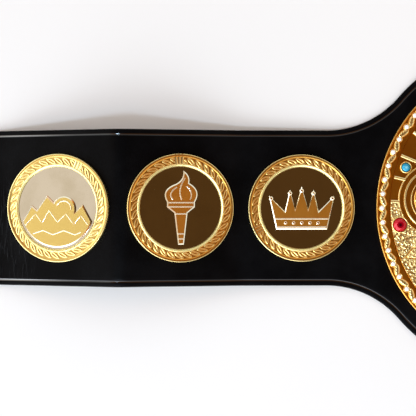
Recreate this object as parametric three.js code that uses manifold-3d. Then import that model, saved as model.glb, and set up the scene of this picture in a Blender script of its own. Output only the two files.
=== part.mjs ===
// Championship title belt lying face up: a stiff black leather strap that swells round a big round centre plate,
// with three round side plates on each half. Millimetres, +X along the belt, +Y up as worn, +Z out of the face.
// The strap lies on the ground at the centre plate and at both ends, and arches over a low hump in between.
import * as THREE from "three";
import { mergeVertices } from "three/addons/utils/BufferGeometryUtils.js";
import Module from "manifold-3d";

const wasm = await Module();
wasm.setup();

const DEG = Math.PI / 180;

// Clearances
const GAP = 0.3;
const RUN_MARGIN = 0.5;

// Leather strap
const STRAP_THICKNESS = 3;
const STRAP_HALF_WIDTH = 70;
const STRAP_END_HALF_WIDTH = 69;
const END_CORNER_RADIUS = 36;
const LOBE_MARGIN = 16.6;
const FILLET_RADIUS = 87;
const CREASE_INSET = 5;
const CREASE_DROP = 0.5;
const EDGE_ROUND = 1.2;

// Side view of one half of the strap
const RISE_MARGIN = 13.9;
const FIRST_BEND = 5.5;
const SECOND_BEND = 13.5;
const CREST_BEND = 17;
const CREST_LEAD = 2;
const LANDING_BEND = 26;
const TAIL_LENGTH = 150;
const INNER_SLOPE = 3.2 * DEG;
const MIDDLE_SLOPE = 12.8 * DEG;
const STEEPEST = 60 * DEG;

// Centre plate
const CENTRE_RADIUS = 136;
const CENTRE_BACK = 2.6;
const BAND_WIDTH = 11.7;
const RELIEF_FLOOR = 3.2;
const RELIEF_TOP = 5.2;
const RELIEF_ROOT = 2.2;
const FIELD_EDGE = 0.8;
const RIB_WIDTH = 2.7;
const RIB_ANGLES = [2.8, 13, 22.5, 33.5];
const ROUNDEL_INSET = 41;
const ROUNDEL_RISE = 7.7;
const ROUNDEL_RADIUS = 28.5;
const ROUNDEL_LINE = 3;
const SURROUND_RADIUS = 33.5;
const SURROUND_LINE = 2.4;
const GLOBE_RADIUS = 19;
const GLOBE_HEIGHT = 3.2;
const MEDALLION_GAP = 2.5;
const MEDALLION_LINE = 3.2;
const STAR_INSET = 20;
const STAR_WAIST_SHARE = 0.43;
const STAR_HEIGHT = 3.4;
const LEAF_LENGTH = 10;
const LEAF_WIDTH = 5;
const LEAF_RISE = 1.8;
const LEAF_TILT = 20 * DEG;
const LEAF_PAIRS = 8;
const WREATH_INSET = 11;
const NUGGET_DEPTH = 29;
const NUGGET_TOP = 4.6;
const NUGGET_GRAIN = 0.5;
const LOZENGE_LENGTH = 20;
const LOZENGE_WIDTH = 11;
const LOZENGE_RISE = 1.4;
const LOZENGE_COUNT = 9;
const LOZENGE_START = 22;
const CROWN_WIDTH = 62;
const CROWN_HEIGHT = 38;
const CROWN_GAP = 11.3;

// Stones on the centre plate
const BLUE_STONE = { radius: 3.85, height: 3.2, inset: 8.5, above: 18.4 };
const RED_STONE = { radius: 6, height: 4.2, inset: 8, above: -7.5 };
const COLLAR_WALL = 1.1;
const COLLAR_HEIGHT = 2.2;
const RIM_STONE_COUNT = 64;
const RIM_STONE_RADIUS = 2;
const RIM_STONE_HEIGHT = 1.5;
const RIM_STONE_SHIFT = 0.8;
const VINE_LENGTH = 7.6;
const VINE_WIDTH = 3.6;
const VINE_TILT = 35 * DEG;
const RIM_LIP = 1.5;
const RIM_FLOOR = 1.1;
const RIM_TOP = 2.4;

// Side plates
const SIDE_RADIUS = 48;
const SIDE_BACK = 2.2;
const SIDE_RIM_WIDTH = 3;
const SIDE_RIM_TOP = 4.5;
const LEAF_BAND_WIDTH = 6.3;
const LEAF_BAND_TOP = 5.6;
const LIP_WIDTH = 1.7;
const LIP_TOP = 4.9;
const MIRROR_THICKNESS = 0.8;
const EMBLEM_THICKNESS = 1.1;
const EMBLEM_BEVEL = 0.6;
const LEAF_SECTORS = 26;

// Fasteners
const POST_RADIUS = 2;
const POST_HEAD_RADIUS = 4.4;
const POST_HEAD_DEPTH = 1.4;
const POST_BITE = 1.2;
const HOLE_OVERRUN = 1;
const CENTRE_POST_X = 92;
const CENTRE_POST_Y = 62;
const SNAP_PITCH = 42;
const SNAP_INSET = 30;
const SNAP_FLANGE_RADIUS = 6;
const SNAP_FLANGE = 0.9;
const STUD_RADIUS = 3.4;
const STUD_HEIGHT = 4.2;
const CAP_HEIGHT = 2.2;
const SNAP_SIDES = 8;
const POST_SIDES = 6;

// Number of flats on round work
const CENTRE_SIDES = 48;
const RING_SIDES = 20;
const LINE_SIDES = 32;
const MIRROR_SIDES = 24;
const STONE_SIDES = 8;
const RIM_STONE_SIDES = 8;

// The recess of a side plate and the mirror in it
const RECESS_RADIUS = SIDE_RADIUS - SIDE_RIM_WIDTH - LEAF_BAND_WIDTH - LIP_WIDTH;
const MIRROR_RADIUS = RECESS_RADIUS - GAP;

// Finishes
const LEATHER = { color: 0x111113, roughness: 0.45, metalness: 0 };
const GILT = { color: 0xc8963c, roughness: 0.28, metalness: 1 };
const MIRROR = { color: 0xc9c4bb, roughness: 0.08, metalness: 1 };
const STEEL = { color: 0xb8babd, roughness: 0.35, metalness: 1 };
const BLUE = { color: 0x27a9cf, roughness: 0.05, metalness: 0 };
const RED = { color: 0xb5122b, roughness: 0.05, metalness: 0 };

// One half of the strap from the side, middle to end: each row's length along the leather and the slope it ends on.
function stretches(outerSlope) {
  const run = SIDE_RADIUS + RUN_MARGIN;
  const crestRun = SIDE_RADIUS - CREST_LEAD;
  return [
    { name: "under_centre", length: CENTRE_RADIUS + RISE_MARGIN, slope: 0 },
    { name: "first_bend", length: FIRST_BEND, slope: INNER_SLOPE },
    { name: "under_inner", length: 2 * run, slope: INNER_SLOPE },
    { name: "second_bend", length: SECOND_BEND, slope: MIDDLE_SLOPE },
    { name: "under_middle", length: run + crestRun, slope: MIDDLE_SLOPE },
    { name: "crest", length: CREST_BEND, slope: -outerSlope },
    { name: "under_outer", length: crestRun + run, slope: -outerSlope },
    { name: "landing", length: LANDING_BEND, slope: 0 },
    { name: "tail", length: TAIL_LENGTH, slope: 0 },
  ];
}

// Walks the stretches for a distance s along the underside: place and slope there. A bend is an arc of a circle.
function walk(rows, s) {
  const at = { x: 0, z: 0, slope: 0 };
  let left = s;
  for (const row of rows) {
    const step = Math.min(left, row.length);
    const turn = ((row.slope - at.slope) * step) / row.length;
    const middle = at.slope + turn / 2;
    const chord = Math.abs(turn) < 1e-9 ? step : (step * Math.sin(turn / 2)) / (turn / 2);
    at.x += chord * Math.cos(middle);
    at.z += chord * Math.sin(middle);
    at.slope += turn;
    left -= step;
    if (left <= 0) break;
  }
  return at;
}

function halfLength(rows) {
  return rows.reduce((sum, row) => sum + row.length, 0);
}

// The outer slope that brings the strap back to the ground, found by halving.
function landingSlope() {
  let low = 0;
  let high = STEEPEST;
  for (let i = 0; i < 60; i++) {
    const middle = (low + high) / 2;
    const rows = stretches(middle);
    if (walk(rows, halfLength(rows)).z > 0) low = middle;
    else high = middle;
  }
  return (low + high) / 2;
}

const ROWS = stretches(landingSlope());
const HALF_LENGTH = halfLength(ROWS);

function startOf(name) {
  let s = 0;
  for (const row of ROWS) {
    if (row.name === name) return s;
    s += row.length;
  }
  throw new Error("no stretch is named " + name);
}

// Distance along the strap to each side plate's middle.
const SEATS = {
  inner: startOf("under_inner") + SIDE_RADIUS + RUN_MARGIN,
  middle: startOf("under_middle") + SIDE_RADIUS + RUN_MARGIN,
  outer: startOf("under_outer") + SIDE_RADIUS - CREST_LEAD,
};

// Point of the strap at s along it, y across it and h above its underside.
function onStrap(s, y, h) {
  const at = walk(ROWS, Math.abs(s));
  const side = s < 0 ? -1 : 1;
  return [side * (at.x - h * Math.sin(at.slope)), y, at.z + h * Math.cos(at.slope)];
}

// A closed mesh from vertices and faces of three or four corners.
function meshFrom(points, faces) {
  const index = [];
  for (const f of faces) {
    index.push(f[0], f[1], f[2]);
    if (f.length === 4) index.push(f[0], f[2], f[3]);
  }
  const geometry = new THREE.BufferGeometry();
  geometry.setAttribute("position", new THREE.Float32BufferAttribute(points.flat(), 3));
  geometry.setIndex(index);
  return geometry;
}

function toSolid(geometry) {
  const bare = geometry.clone();
  bare.deleteAttribute("normal");
  bare.deleteAttribute("uv");
  const merged = mergeVertices(bare, 1e-4);
  return new wasm.Manifold(
    new wasm.Mesh({
      numProp: 3,
      vertProperties: new Float32Array(merged.attributes.position.array),
      triVerts: new Uint32Array(merged.index.array),
    }),
  );
}

function toGeometry(solid) {
  const mesh = solid.getMesh();
  const geometry = new THREE.BufferGeometry();
  geometry.setAttribute("position", new THREE.BufferAttribute(mesh.vertProperties, 3));
  geometry.setIndex(new THREE.BufferAttribute(mesh.triVerts, 1));
  return geometry;
}

function fuse(geometries) {
  return wasm.Manifold.union(geometries.map(toSolid));
}

// Solid of revolution about Z, from a profile of [radius, z] that starts and ends on the axis, going up outside.
function revolve(profile, sides) {
  const points = profile.map(([r, z]) => new THREE.Vector2(r, z));
  return new THREE.LatheGeometry(points, sides).rotateX(Math.PI / 2);
}

// Flat ring standing from one height to another.
function ring(outer, inner, bottom, top, sides) {
  const shape = new THREE.Shape().absarc(0, 0, outer, 0, 2 * Math.PI);
  shape.holes.push(new THREE.Path().absarc(0, 0, inner, 0, 2 * Math.PI, true));
  const depth = top - bottom;
  const options = { depth, bevelEnabled: false, curveSegments: sides / 2 };
  return new THREE.ExtrudeGeometry(shape, options).translate(0, 0, bottom);
}

// Plate cut to an outline, with its upper edge bevelled all round.
function bevelledPlate(outline, bottom, top, bevel) {
  const n = outline.length;
  const inset = outline.map((p, i) => {
    const before = outline[(i + n - 1) % n];
    const after = outline[(i + 1) % n];
    const a = new THREE.Vector2(p.x - before.x, p.y - before.y).normalize();
    const b = new THREE.Vector2(after.x - p.x, after.y - p.y).normalize();
    const inward = new THREE.Vector2(-a.y - b.y, a.x + b.x).normalize();
    const mitre = Math.max(0.5, inward.dot(new THREE.Vector2(-a.y, a.x)));
    return new THREE.Vector2(p.x + (inward.x * bevel) / mitre, p.y + (inward.y * bevel) / mitre);
  });
  const points = [
    ...outline.map((p) => [p.x, p.y, bottom]),
    ...outline.map((p) => [p.x, p.y, top - bevel]),
    ...inset.map((p) => [p.x, p.y, top]),
  ];
  const faces = [];
  for (const [a, b, c] of THREE.ShapeUtils.triangulateShape(outline, [])) faces.push([c, b, a]);
  for (const [a, b, c] of THREE.ShapeUtils.triangulateShape(inset, [])) {
    faces.push([2 * n + a, 2 * n + b, 2 * n + c]);
  }
  for (let i = 0; i < n; i++) {
    const j = (i + 1) % n;
    faces.push([i, j, n + j, n + i]);
    faces.push([n + i, n + j, 2 * n + j, 2 * n + i]);
  }
  return meshFrom(points, faces);
}

// Outline points of a shape, anticlockwise, with no point twice.
function outlineOf(shape, divisions) {
  const points = shape.getPoints(divisions);
  const kept = points.filter((p, i) => p.distanceTo(points[(i + 1) % points.length]) > 0.05);
  return THREE.ShapeUtils.isClockWise(kept) ? kept.reverse() : kept;
}

// Plan of one half of the strap, unrolled: points of its edge with the outward direction there, middle to end.
function edgeStations() {
  const lobe = CENTRE_RADIUS + LOBE_MARGIN;
  const filletY = STRAP_HALF_WIDTH + FILLET_RADIUS;
  const filletX = Math.sqrt((lobe + FILLET_RADIUS) ** 2 - filletY ** 2);
  const join = Math.atan2(filletY, filletX);
  const stations = [];
  const lobeSteps = 7;
  for (let i = 0; i < lobeSteps; i++) {
    const a = Math.PI / 2 + ((join - Math.PI / 2) * i) / lobeSteps;
    stations.push({ s: lobe * Math.cos(a), y: lobe * Math.sin(a), ns: Math.cos(a), ny: Math.sin(a) });
  }
  const filletSteps = 5;
  for (let i = 0; i <= filletSteps; i++) {
    const b = Math.PI + join + ((Math.PI / 2 - join) * i) / filletSteps;
    stations.push({
      s: filletX + FILLET_RADIUS * Math.cos(b),
      y: filletY + FILLET_RADIUS * Math.sin(b),
      ns: -Math.cos(b),
      ny: -Math.sin(b),
    });
  }
  const cornerS = HALF_LENGTH - END_CORNER_RADIUS;
  const halfWidth = (s) =>
    THREE.MathUtils.mapLinear(s, filletX, cornerS, STRAP_HALF_WIDTH, STRAP_END_HALF_WIDTH);
  let start = 0;
  for (const row of ROWS) {
    const bent = ["second_bend", "crest", "landing"].includes(row.name);
    const steps = bent ? Math.ceil(row.length / 5.5) : 1;
    for (let i = 0; i < steps; i++) {
      const s = start + (row.length * i) / steps;
      if (s > filletX + 1 && s < cornerS - 1) stations.push({ s, y: halfWidth(s), ns: 0, ny: 1 });
    }
    start += row.length;
  }
  const cornerSteps = 4;
  for (let i = 0; i <= cornerSteps; i++) {
    const c = Math.PI / 2 - (Math.PI / 2) * (i / cornerSteps);
    stations.push({
      s: cornerS + END_CORNER_RADIUS * Math.cos(c),
      y: STRAP_END_HALF_WIDTH - END_CORNER_RADIUS + END_CORNER_RADIUS * Math.sin(c),
      ns: Math.cos(c),
      ny: Math.sin(c),
    });
  }
  return stations;
}

// Section of the strap's edge from the underside up: how far in from the edge, and how high.
function edgeSection() {
  return [
    { inset: EDGE_ROUND, height: 0 },
    { inset: 0, height: STRAP_THICKNESS * 0.4 },
    { inset: EDGE_ROUND, height: STRAP_THICKNESS - CREASE_DROP },
    { inset: CREASE_INSET, height: STRAP_THICKNESS },
  ];
}

function strapBlank() {
  const half = edgeStations();
  const left = half.slice(1).map((p) => ({ ...p, s: -p.s, ns: -p.ns }));
  const stations = [...left.reverse(), ...half];
  const section = edgeSection();
  const k = 2 * section.length;
  const points = [];
  for (const p of stations) {
    const sides = section.map((q) => onStrap(p.s - p.ns * q.inset, p.y - p.ny * q.inset, q.height));
    const mirrored = sides.map(([x, y, z]) => [x, -y, z]);
    points.push(...sides, ...mirrored.reverse());
  }
  const faces = [];
  for (let i = 0; i < stations.length - 1; i++) {
    for (let j = 0; j < k; j++) {
      const next = (j + 1) % k;
      faces.push([i * k + j, i * k + next, (i + 1) * k + next, (i + 1) * k + j]);
    }
  }
  const last = (stations.length - 1) * k;
  for (let j = 0; j < section.length - 1; j++) {
    faces.push([j, k - 1 - j, k - 2 - j, j + 1]);
    faces.push([last + j, last + j + 1, last + k - 2 - j, last + k - 1 - j]);
  }
  return meshFrom(points, faces);
}

// Countersunk post: a flush head in the underside of the strap, and a shank up into the plate.
function postProfile() {
  const top = STRAP_THICKNESS + GAP + POST_BITE;
  return [
    [0, GAP],
    [POST_HEAD_RADIUS, GAP],
    [POST_RADIUS, POST_HEAD_DEPTH],
    [POST_RADIUS, top],
    [0, top],
  ];
}

// The hole for a post, open under the strap.
function holeProfile() {
  const head = POST_HEAD_RADIUS + GAP;
  const shank = POST_RADIUS + GAP;
  const top = STRAP_THICKNESS + GAP + POST_BITE + GAP;
  return [
    [0, -HOLE_OVERRUN],
    [head, -HOLE_OVERRUN],
    [head, GAP],
    [shank, POST_HEAD_DEPTH + GAP],
    [shank, top],
    [0, top],
  ];
}

const POST = revolve(postProfile(), POST_SIDES);
const POST_HOLE = revolve(holeProfile(), POST_SIDES);

// Press stud riveted through the strap, and the cap that covers the matching socket at the other end.
function snapProfile(height, shoulder) {
  const seat = STRAP_THICKNESS + GAP;
  return [
    [0, GAP],
    [POST_HEAD_RADIUS, GAP],
    [POST_RADIUS, POST_HEAD_DEPTH],
    [POST_RADIUS, seat],
    [SNAP_FLANGE_RADIUS, seat],
    [SNAP_FLANGE_RADIUS, seat + SNAP_FLANGE],
    [shoulder, seat + SNAP_FLANGE],
    [shoulder, seat + height],
    [0, seat + height],
  ];
}

const SNAP_STUD = revolve(snapProfile(STUD_HEIGHT, STUD_RADIUS), SNAP_SIDES);
const SNAP_CAP = revolve(snapProfile(CAP_HEIGHT, SNAP_FLANGE_RADIUS - 1), SNAP_SIDES);
const SNAP_HOLE = revolve(holeProfile(), SNAP_SIDES);

function finish(name, geometry, look) {
  const mesh = new THREE.Mesh(geometry, new THREE.MeshStandardMaterial(look));
  mesh.name = name;
  return mesh;
}

// Group whose own XY plane is the underside of the strap at s along it and y across it.
function seatOnStrap(s, y) {
  const at = walk(ROWS, Math.abs(s));
  const side = s < 0 ? -1 : 1;
  const group = new THREE.Group();
  group.position.set(side * at.x, y, at.z);
  group.rotation.y = -side * at.slope;
  return group;
}

// Group at the plate's back, GAP above the face of the strap.
function plateGroup(s) {
  const seat = seatOnStrap(s, 0);
  const plate = new THREE.Group();
  plate.position.z = STRAP_THICKNESS + GAP;
  seat.add(plate);
  return { seat, plate };
}

const SIDES = [
  { name: "left", sign: -1 },
  { name: "right", sign: 1 },
];

const SNAP_S = HALF_LENGTH - SNAP_INSET;

// Every fastener: its piece, its place on the strap and the name of its node.
function fastenerTable() {
  const rows = [];
  for (const side of SIDES) {
    for (const [place, s] of Object.entries(SEATS)) {
      rows.push({ name: `post_${place}_${side.name}`, piece: POST, hole: POST_HOLE, s: side.sign * s, y: 0 });
    }
    for (const [row, y] of [["upper", CENTRE_POST_Y], ["lower", -CENTRE_POST_Y]]) {
      const name = `post_centre_${side.name}_${row}`;
      rows.push({ name, piece: POST, hole: POST_HOLE, s: side.sign * CENTRE_POST_X, y });
    }
    const piece = side.name === "left" ? SNAP_STUD : SNAP_CAP;
    const kind = side.name === "left" ? "snap_stud" : "snap_cap";
    for (const [row, y] of [["upper", SNAP_PITCH], ["middle", 0], ["lower", -SNAP_PITCH]]) {
      rows.push({ name: `${kind}_${row}`, piece, hole: SNAP_HOLE, s: side.sign * SNAP_S, y });
    }
  }
  return rows;
}

const FASTENERS = fastenerTable();

function strap() {
  let solid = toSolid(strapBlank());
  for (const row of FASTENERS) {
    const seat = seatOnStrap(row.s, row.y);
    seat.updateMatrixWorld(true);
    solid = solid.subtract(toSolid(row.hole.clone().applyMatrix4(seat.matrixWorld)));
  }
  return finish("strap", toGeometry(solid), LEATHER);
}

function fasteners() {
  return FASTENERS.map((row) => {
    const seat = seatOnStrap(row.s, row.y);
    seat.add(finish(row.name, row.piece, STEEL));
    return seat;
  });
}

// Gilt dish of a side plate: flat back, recess for the mirror, polished lip, laurel band of slanted leaves, rim.
function sideFrameBlank() {
  const n = LEAF_SECTORS;
  const bandOuter = SIDE_RADIUS - SIDE_RIM_WIDTH;
  const bandInner = bandOuter - LEAF_BAND_WIDTH;
  const recess = bandInner - LIP_WIDTH;
  const rows = [
    { radius: SIDE_RADIUS, z: 0, turn: 0.5 },
    { radius: SIDE_RADIUS, z: SIDE_RIM_TOP - 0.8, turn: 0.5 },
    { radius: bandOuter, z: SIDE_RIM_TOP, turn: 0.5 },
    { radius: (bandOuter + bandInner) / 2, z: LEAF_BAND_TOP, turn: 0.75 },
    { radius: bandInner, z: LIP_TOP - 0.3, turn: 0 },
    { radius: recess, z: LIP_TOP, turn: 0 },
    { radius: recess, z: SIDE_BACK, turn: 0 },
  ];
  const points = [];
  for (const row of rows) {
    for (let i = 0; i < n; i++) {
      const a = (2 * Math.PI * (i + row.turn)) / n;
      points.push([row.radius * Math.cos(a), row.radius * Math.sin(a), row.z]);
    }
  }
  const faces = [];
  const at = (row, i) => row * n + (i % n);
  for (let i = 0; i < n; i++) {
    for (const row of [0, 1, 4, 5]) faces.push([at(row, i), at(row, i + 1), at(row + 1, i + 1), at(row + 1, i)]);
    faces.push([at(2, i), at(2, i + 1), at(3, i)]);
    faces.push([at(2, i + 1), at(4, i + 1), at(3, i)]);
    faces.push([at(4, i + 1), at(4, i), at(3, i)]);
    faces.push([at(4, i), at(2, i), at(3, i)]);
  }
  for (let i = 1; i < n - 1; i++) {
    faces.push([at(0, 0), at(0, i + 1), at(0, i)]);
    faces.push([at(6, 0), at(6, i), at(6, i + 1)]);
  }
  return meshFrom(points, faces);
}

function sideFrame() {
  const hole = POST_HOLE.clone().translate(0, 0, -STRAP_THICKNESS - GAP);
  return toGeometry(toSolid(sideFrameBlank()).subtract(toSolid(hole)));
}

function mirrorDisc() {
  const top = SIDE_BACK + GAP + MIRROR_THICKNESS;
  return revolve([[0, SIDE_BACK + GAP], [MIRROR_RADIUS, SIDE_BACK + GAP], [MIRROR_RADIUS, top], [0, top]], MIRROR_SIDES);
}

// Motifs, each inside a circle of radius r: a crown, a torch, and a half sun rising over peaks.
function crownShape(width, height) {
  const half = width / 2;
  const shape = new THREE.Shape();
  shape.moveTo(-half * 0.78, 0);
  shape.lineTo(half * 0.78, 0);
  shape.lineTo(half, height * 0.78);
  shape.lineTo(half * 0.52, height * 0.42);
  shape.lineTo(half * 0.36, height * 0.92);
  shape.lineTo(half * 0.2, height * 0.46);
  shape.lineTo(0, height);
  shape.lineTo(-half * 0.2, height * 0.46);
  shape.lineTo(-half * 0.36, height * 0.92);
  shape.lineTo(-half * 0.52, height * 0.42);
  shape.lineTo(-half, height * 0.78);
  shape.closePath();
  return shape;
}

function crownEmblem(r) {
  const height = r * 1.05;
  return outlineOf(crownShape(r * 1.6, height), 4).map((p) => new THREE.Vector2(p.x, p.y - height / 2));
}

function torchEmblem(r) {
  const shape = new THREE.Shape();
  shape.moveTo(-r * 0.07, -r * 0.88);
  shape.lineTo(r * 0.07, -r * 0.88);
  shape.lineTo(r * 0.16, -r * 0.12);
  shape.lineTo(r * 0.34, r * 0.02);
  shape.lineTo(r * 0.34, r * 0.14);
  shape.quadraticCurveTo(r * 0.52, r * 0.42, r * 0.2, r * 0.6);
  shape.quadraticCurveTo(r * 0.24, r * 0.78, r * 0.06, r * 0.9);
  shape.quadraticCurveTo(r * 0.08, r * 0.68, -r * 0.12, r * 0.58);
  shape.quadraticCurveTo(-r * 0.52, r * 0.44, -r * 0.34, r * 0.14);
  shape.lineTo(-r * 0.34, r * 0.02);
  shape.lineTo(-r * 0.16, -r * 0.12);
  shape.closePath();
  return outlineOf(shape, 4);
}

function sunriseEmblem(r) {
  const shape = new THREE.Shape();
  const chord = 20 * DEG;
  shape.absarc(0, 0, r * 0.95, Math.PI + chord, 2 * Math.PI - chord, false);
  shape.lineTo(r * 0.66, r * 0.08);
  shape.absarc(r * 0.18, -r * 0.02, r * 0.3, -20 * DEG, 150 * DEG, false);
  shape.lineTo(-r * 0.26, r * 0.3);
  shape.lineTo(-r * 0.52, -r * 0.05);
  shape.lineTo(-r * 0.66, r * 0.06);
  shape.closePath();
  return outlineOf(shape, 4);
}

const EMBLEMS = { inner: crownEmblem, middle: torchEmblem, outer: sunriseEmblem };

function sidePlate(place, side) {
  const { seat, plate } = plateGroup(side.sign * SEATS[place]);
  const bottom = SIDE_BACK + GAP + MIRROR_THICKNESS + GAP;
  const outline = EMBLEMS[place](MIRROR_RADIUS);
  const emblem = bevelledPlate(outline, bottom, bottom + EMBLEM_THICKNESS, EMBLEM_BEVEL);
  plate.add(finish(`frame_${place}_${side.name}`, SIDE_FRAME, GILT));
  plate.add(finish(`mirror_${place}_${side.name}`, MIRROR_DISC, MIRROR));
  plate.add(finish(`emblem_${place}_${side.name}`, emblem, GILT));
  return seat;
}

const SIDE_FRAME = sideFrame();
const MIRROR_DISC = mirrorDisc();

const FIELD_RADIUS = CENTRE_RADIUS - BAND_WIDTH - GAP;
const RELIEF_RADIUS = FIELD_RADIUS - FIELD_EDGE;
const LINE_RADIUS = FIELD_RADIUS - NUGGET_DEPTH;
const ROUNDEL_OFFSET = FIELD_RADIUS - ROUNDEL_INSET;
const MEDALLION_RADIUS = ROUNDEL_OFFSET - SURROUND_RADIUS - MEDALLION_GAP;
const WREATH_RADIUS = MEDALLION_RADIUS - WREATH_INSET;
const STAR_RADIUS = MEDALLION_RADIUS - STAR_INSET;
const STAR_WAIST = STAR_RADIUS * STAR_WAIST_SHARE;
const CROWN_BASE_Y = ROUNDEL_RISE + MEDALLION_RADIUS + CROWN_GAP;

function polar(distance, degreesAbove, sign) {
  const a = degreesAbove * DEG;
  return [sign * distance * Math.cos(a), distance * Math.sin(a)];
}

// Straight rib along a radius, from one distance to another, at an angle in degrees from +X.
function rib(from, to, degrees) {
  const box = new THREE.BoxGeometry(to - from, RIB_WIDTH, RELIEF_TOP - RELIEF_ROOT);
  box.translate((from + to) / 2, 0, (RELIEF_TOP + RELIEF_ROOT) / 2);
  return box.rotateZ(degrees * DEG);
}

// Low pointed leaf along X.
function leaf(length, width, bottom, top) {
  const points = [
    [-length / 2, 0, bottom],
    [0, -width / 2, bottom],
    [length / 2, 0, bottom],
    [0, width / 2, bottom],
    [0, 0, top],
  ];
  return meshFrom(points, [[0, 3, 2, 1], [0, 1, 4], [1, 2, 4], [2, 3, 4], [3, 0, 4]]);
}

// Five-pointed star with a ridge to each point.
function star(radius, waist, bottom, top) {
  const points = [[0, 0, bottom], [0, 0, top]];
  for (let i = 0; i < 10; i++) {
    const r = i % 2 ? waist : radius;
    const a = Math.PI / 2 + (i * Math.PI) / 5;
    points.push([r * Math.cos(a), r * Math.sin(a), bottom]);
  }
  const faces = [];
  for (let i = 0; i < 10; i++) {
    const j = (i + 1) % 10;
    faces.push([2 + i, 2 + j, 1], [2 + j, 2 + i, 0]);
  }
  return meshFrom(points, faces);
}

// Repeatable unevenness between -1 and 1 for the nugget texture.
function grain(i, j) {
  const x = Math.sin(i * 127.1 + j * 311.7) * 43758.5453;
  return 2 * (x - Math.floor(x)) - 1;
}

// Curved block along the rim of the field whose upper face is pebbled like nuggets.
function nuggetBand(fromDegrees, toDegrees) {
  const around = 40;
  const across = 3;
  const row = across + 1;
  const level = (around + 1) * row;
  const points = [];
  for (const face of ["under", "upper"]) {
    for (let i = 0; i <= around; i++) {
      for (let j = 0; j <= across; j++) {
        const a = THREE.MathUtils.lerp(fromDegrees, toDegrees, i / around) * DEG;
        const r = THREE.MathUtils.lerp(LINE_RADIUS - SURROUND_LINE / 2, RELIEF_RADIUS, j / across);
        const z = face === "under" ? RELIEF_ROOT : NUGGET_TOP + NUGGET_GRAIN * grain(i, j);
        points.push([r * Math.cos(a), r * Math.sin(a), z]);
      }
    }
  }
  const faces = [];
  for (let i = 0; i < around; i++) {
    const b = i * row;
    for (let j = 0; j < across; j++) {
      const a = b + j;
      faces.push([level + a, level + a + 1, level + a + row + 1, level + a + row]);
      faces.push([a, a + row, a + row + 1, a + 1]);
    }
    faces.push([b, level + b, level + b + row, b + row]);
    faces.push([b + across, b + row + across, level + b + row + across, level + b + across]);
  }
  const end = around * row;
  for (let j = 0; j < across; j++) {
    faces.push([j, j + 1, level + j + 1, level + j]);
    faces.push([end + j, level + end + j, level + end + j + 1, end + j + 1]);
  }
  return meshFrom(points, faces);
}

function disc(radius, bottom, top, sides) {
  return revolve([[0, bottom], [radius, bottom], [radius, top], [0, top]], sides);
}

const STONES = SIDES.flatMap((side) => [
  { name: `stone_blue_${side.name}`, sign: side.sign, look: BLUE, ...BLUE_STONE },
  { name: `stone_red_${side.name}`, sign: side.sign, look: RED, ...RED_STONE },
]);

// Ribs, inner line and nugget band, cleared where the roundels and the stones sit.
function fieldRelief() {
  const lineInner = LINE_RADIUS - SURROUND_LINE;
  const pieces = [ring(LINE_RADIUS, lineInner, RELIEF_ROOT, RELIEF_TOP, LINE_SIDES)];
  for (const above of RIB_ANGLES) {
    pieces.push(rib(lineInner + SURROUND_LINE / 3, RELIEF_RADIUS, above));
    pieces.push(rib(lineInner + SURROUND_LINE / 3, RELIEF_RADIUS, 180 - above));
  }
  pieces.push(nuggetBand(-180 - RIB_ANGLES[0], RIB_ANGLES[0]));
  for (let i = 0; i < LOZENGE_COUNT; i++) {
    const a = THREE.MathUtils.lerp(-180 + LOZENGE_START, -LOZENGE_START, i / (LOZENGE_COUNT - 1));
    const block = leaf(LOZENGE_LENGTH, LOZENGE_WIDTH, RELIEF_ROOT, NUGGET_TOP + LOZENGE_RISE);
    block.translate((FIELD_RADIUS + LINE_RADIUS) / 2, 0, 0);
    pieces.push(block.rotateZ(a * DEG));
  }
  let relief = fuse(pieces);
  for (const { sign } of SIDES) {
    const well = disc(SURROUND_RADIUS - SURROUND_LINE / 2, RELIEF_ROOT, RELIEF_TOP + 3, RING_SIDES);
    relief = relief.subtract(toSolid(well.translate(sign * ROUNDEL_OFFSET, ROUNDEL_RISE, 0)));
  }
  for (const stone of STONES) {
    const [x, y] = polar(FIELD_RADIUS - stone.inset, stone.above, stone.sign);
    const well = disc(stone.radius + GAP + COLLAR_WALL / 2, RELIEF_ROOT, RELIEF_TOP + 3, STONE_SIDES);
    relief = relief.subtract(toSolid(well.translate(x, y, 0)));
  }
  return relief;
}

// Raised ring with a plain globe in it, one on each side of the middle.
function roundel(sign) {
  const bottom = RELIEF_ROOT;
  const globe = [[0, bottom]];
  const arcs = 3;
  for (let i = 0; i <= arcs; i++) {
    const a = (Math.PI / 2) * (i / arcs);
    globe.push([GLOBE_RADIUS * Math.cos(a), RELIEF_FLOOR + GLOBE_HEIGHT * Math.sin(a)]);
  }
  globe[globe.length - 1][0] = 0;
  globe.splice(1, 0, [GLOBE_RADIUS, bottom]);
  const pieces = [
    ring(SURROUND_RADIUS, SURROUND_RADIUS - SURROUND_LINE, bottom, RELIEF_TOP, RING_SIDES),
    ring(ROUNDEL_RADIUS, ROUNDEL_RADIUS - ROUNDEL_LINE, bottom, RELIEF_TOP, RING_SIDES),
    revolve(globe, RING_SIDES / 2),
  ];
  return pieces.map((g) => g.translate(sign * ROUNDEL_OFFSET, ROUNDEL_RISE, 0));
}

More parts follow.
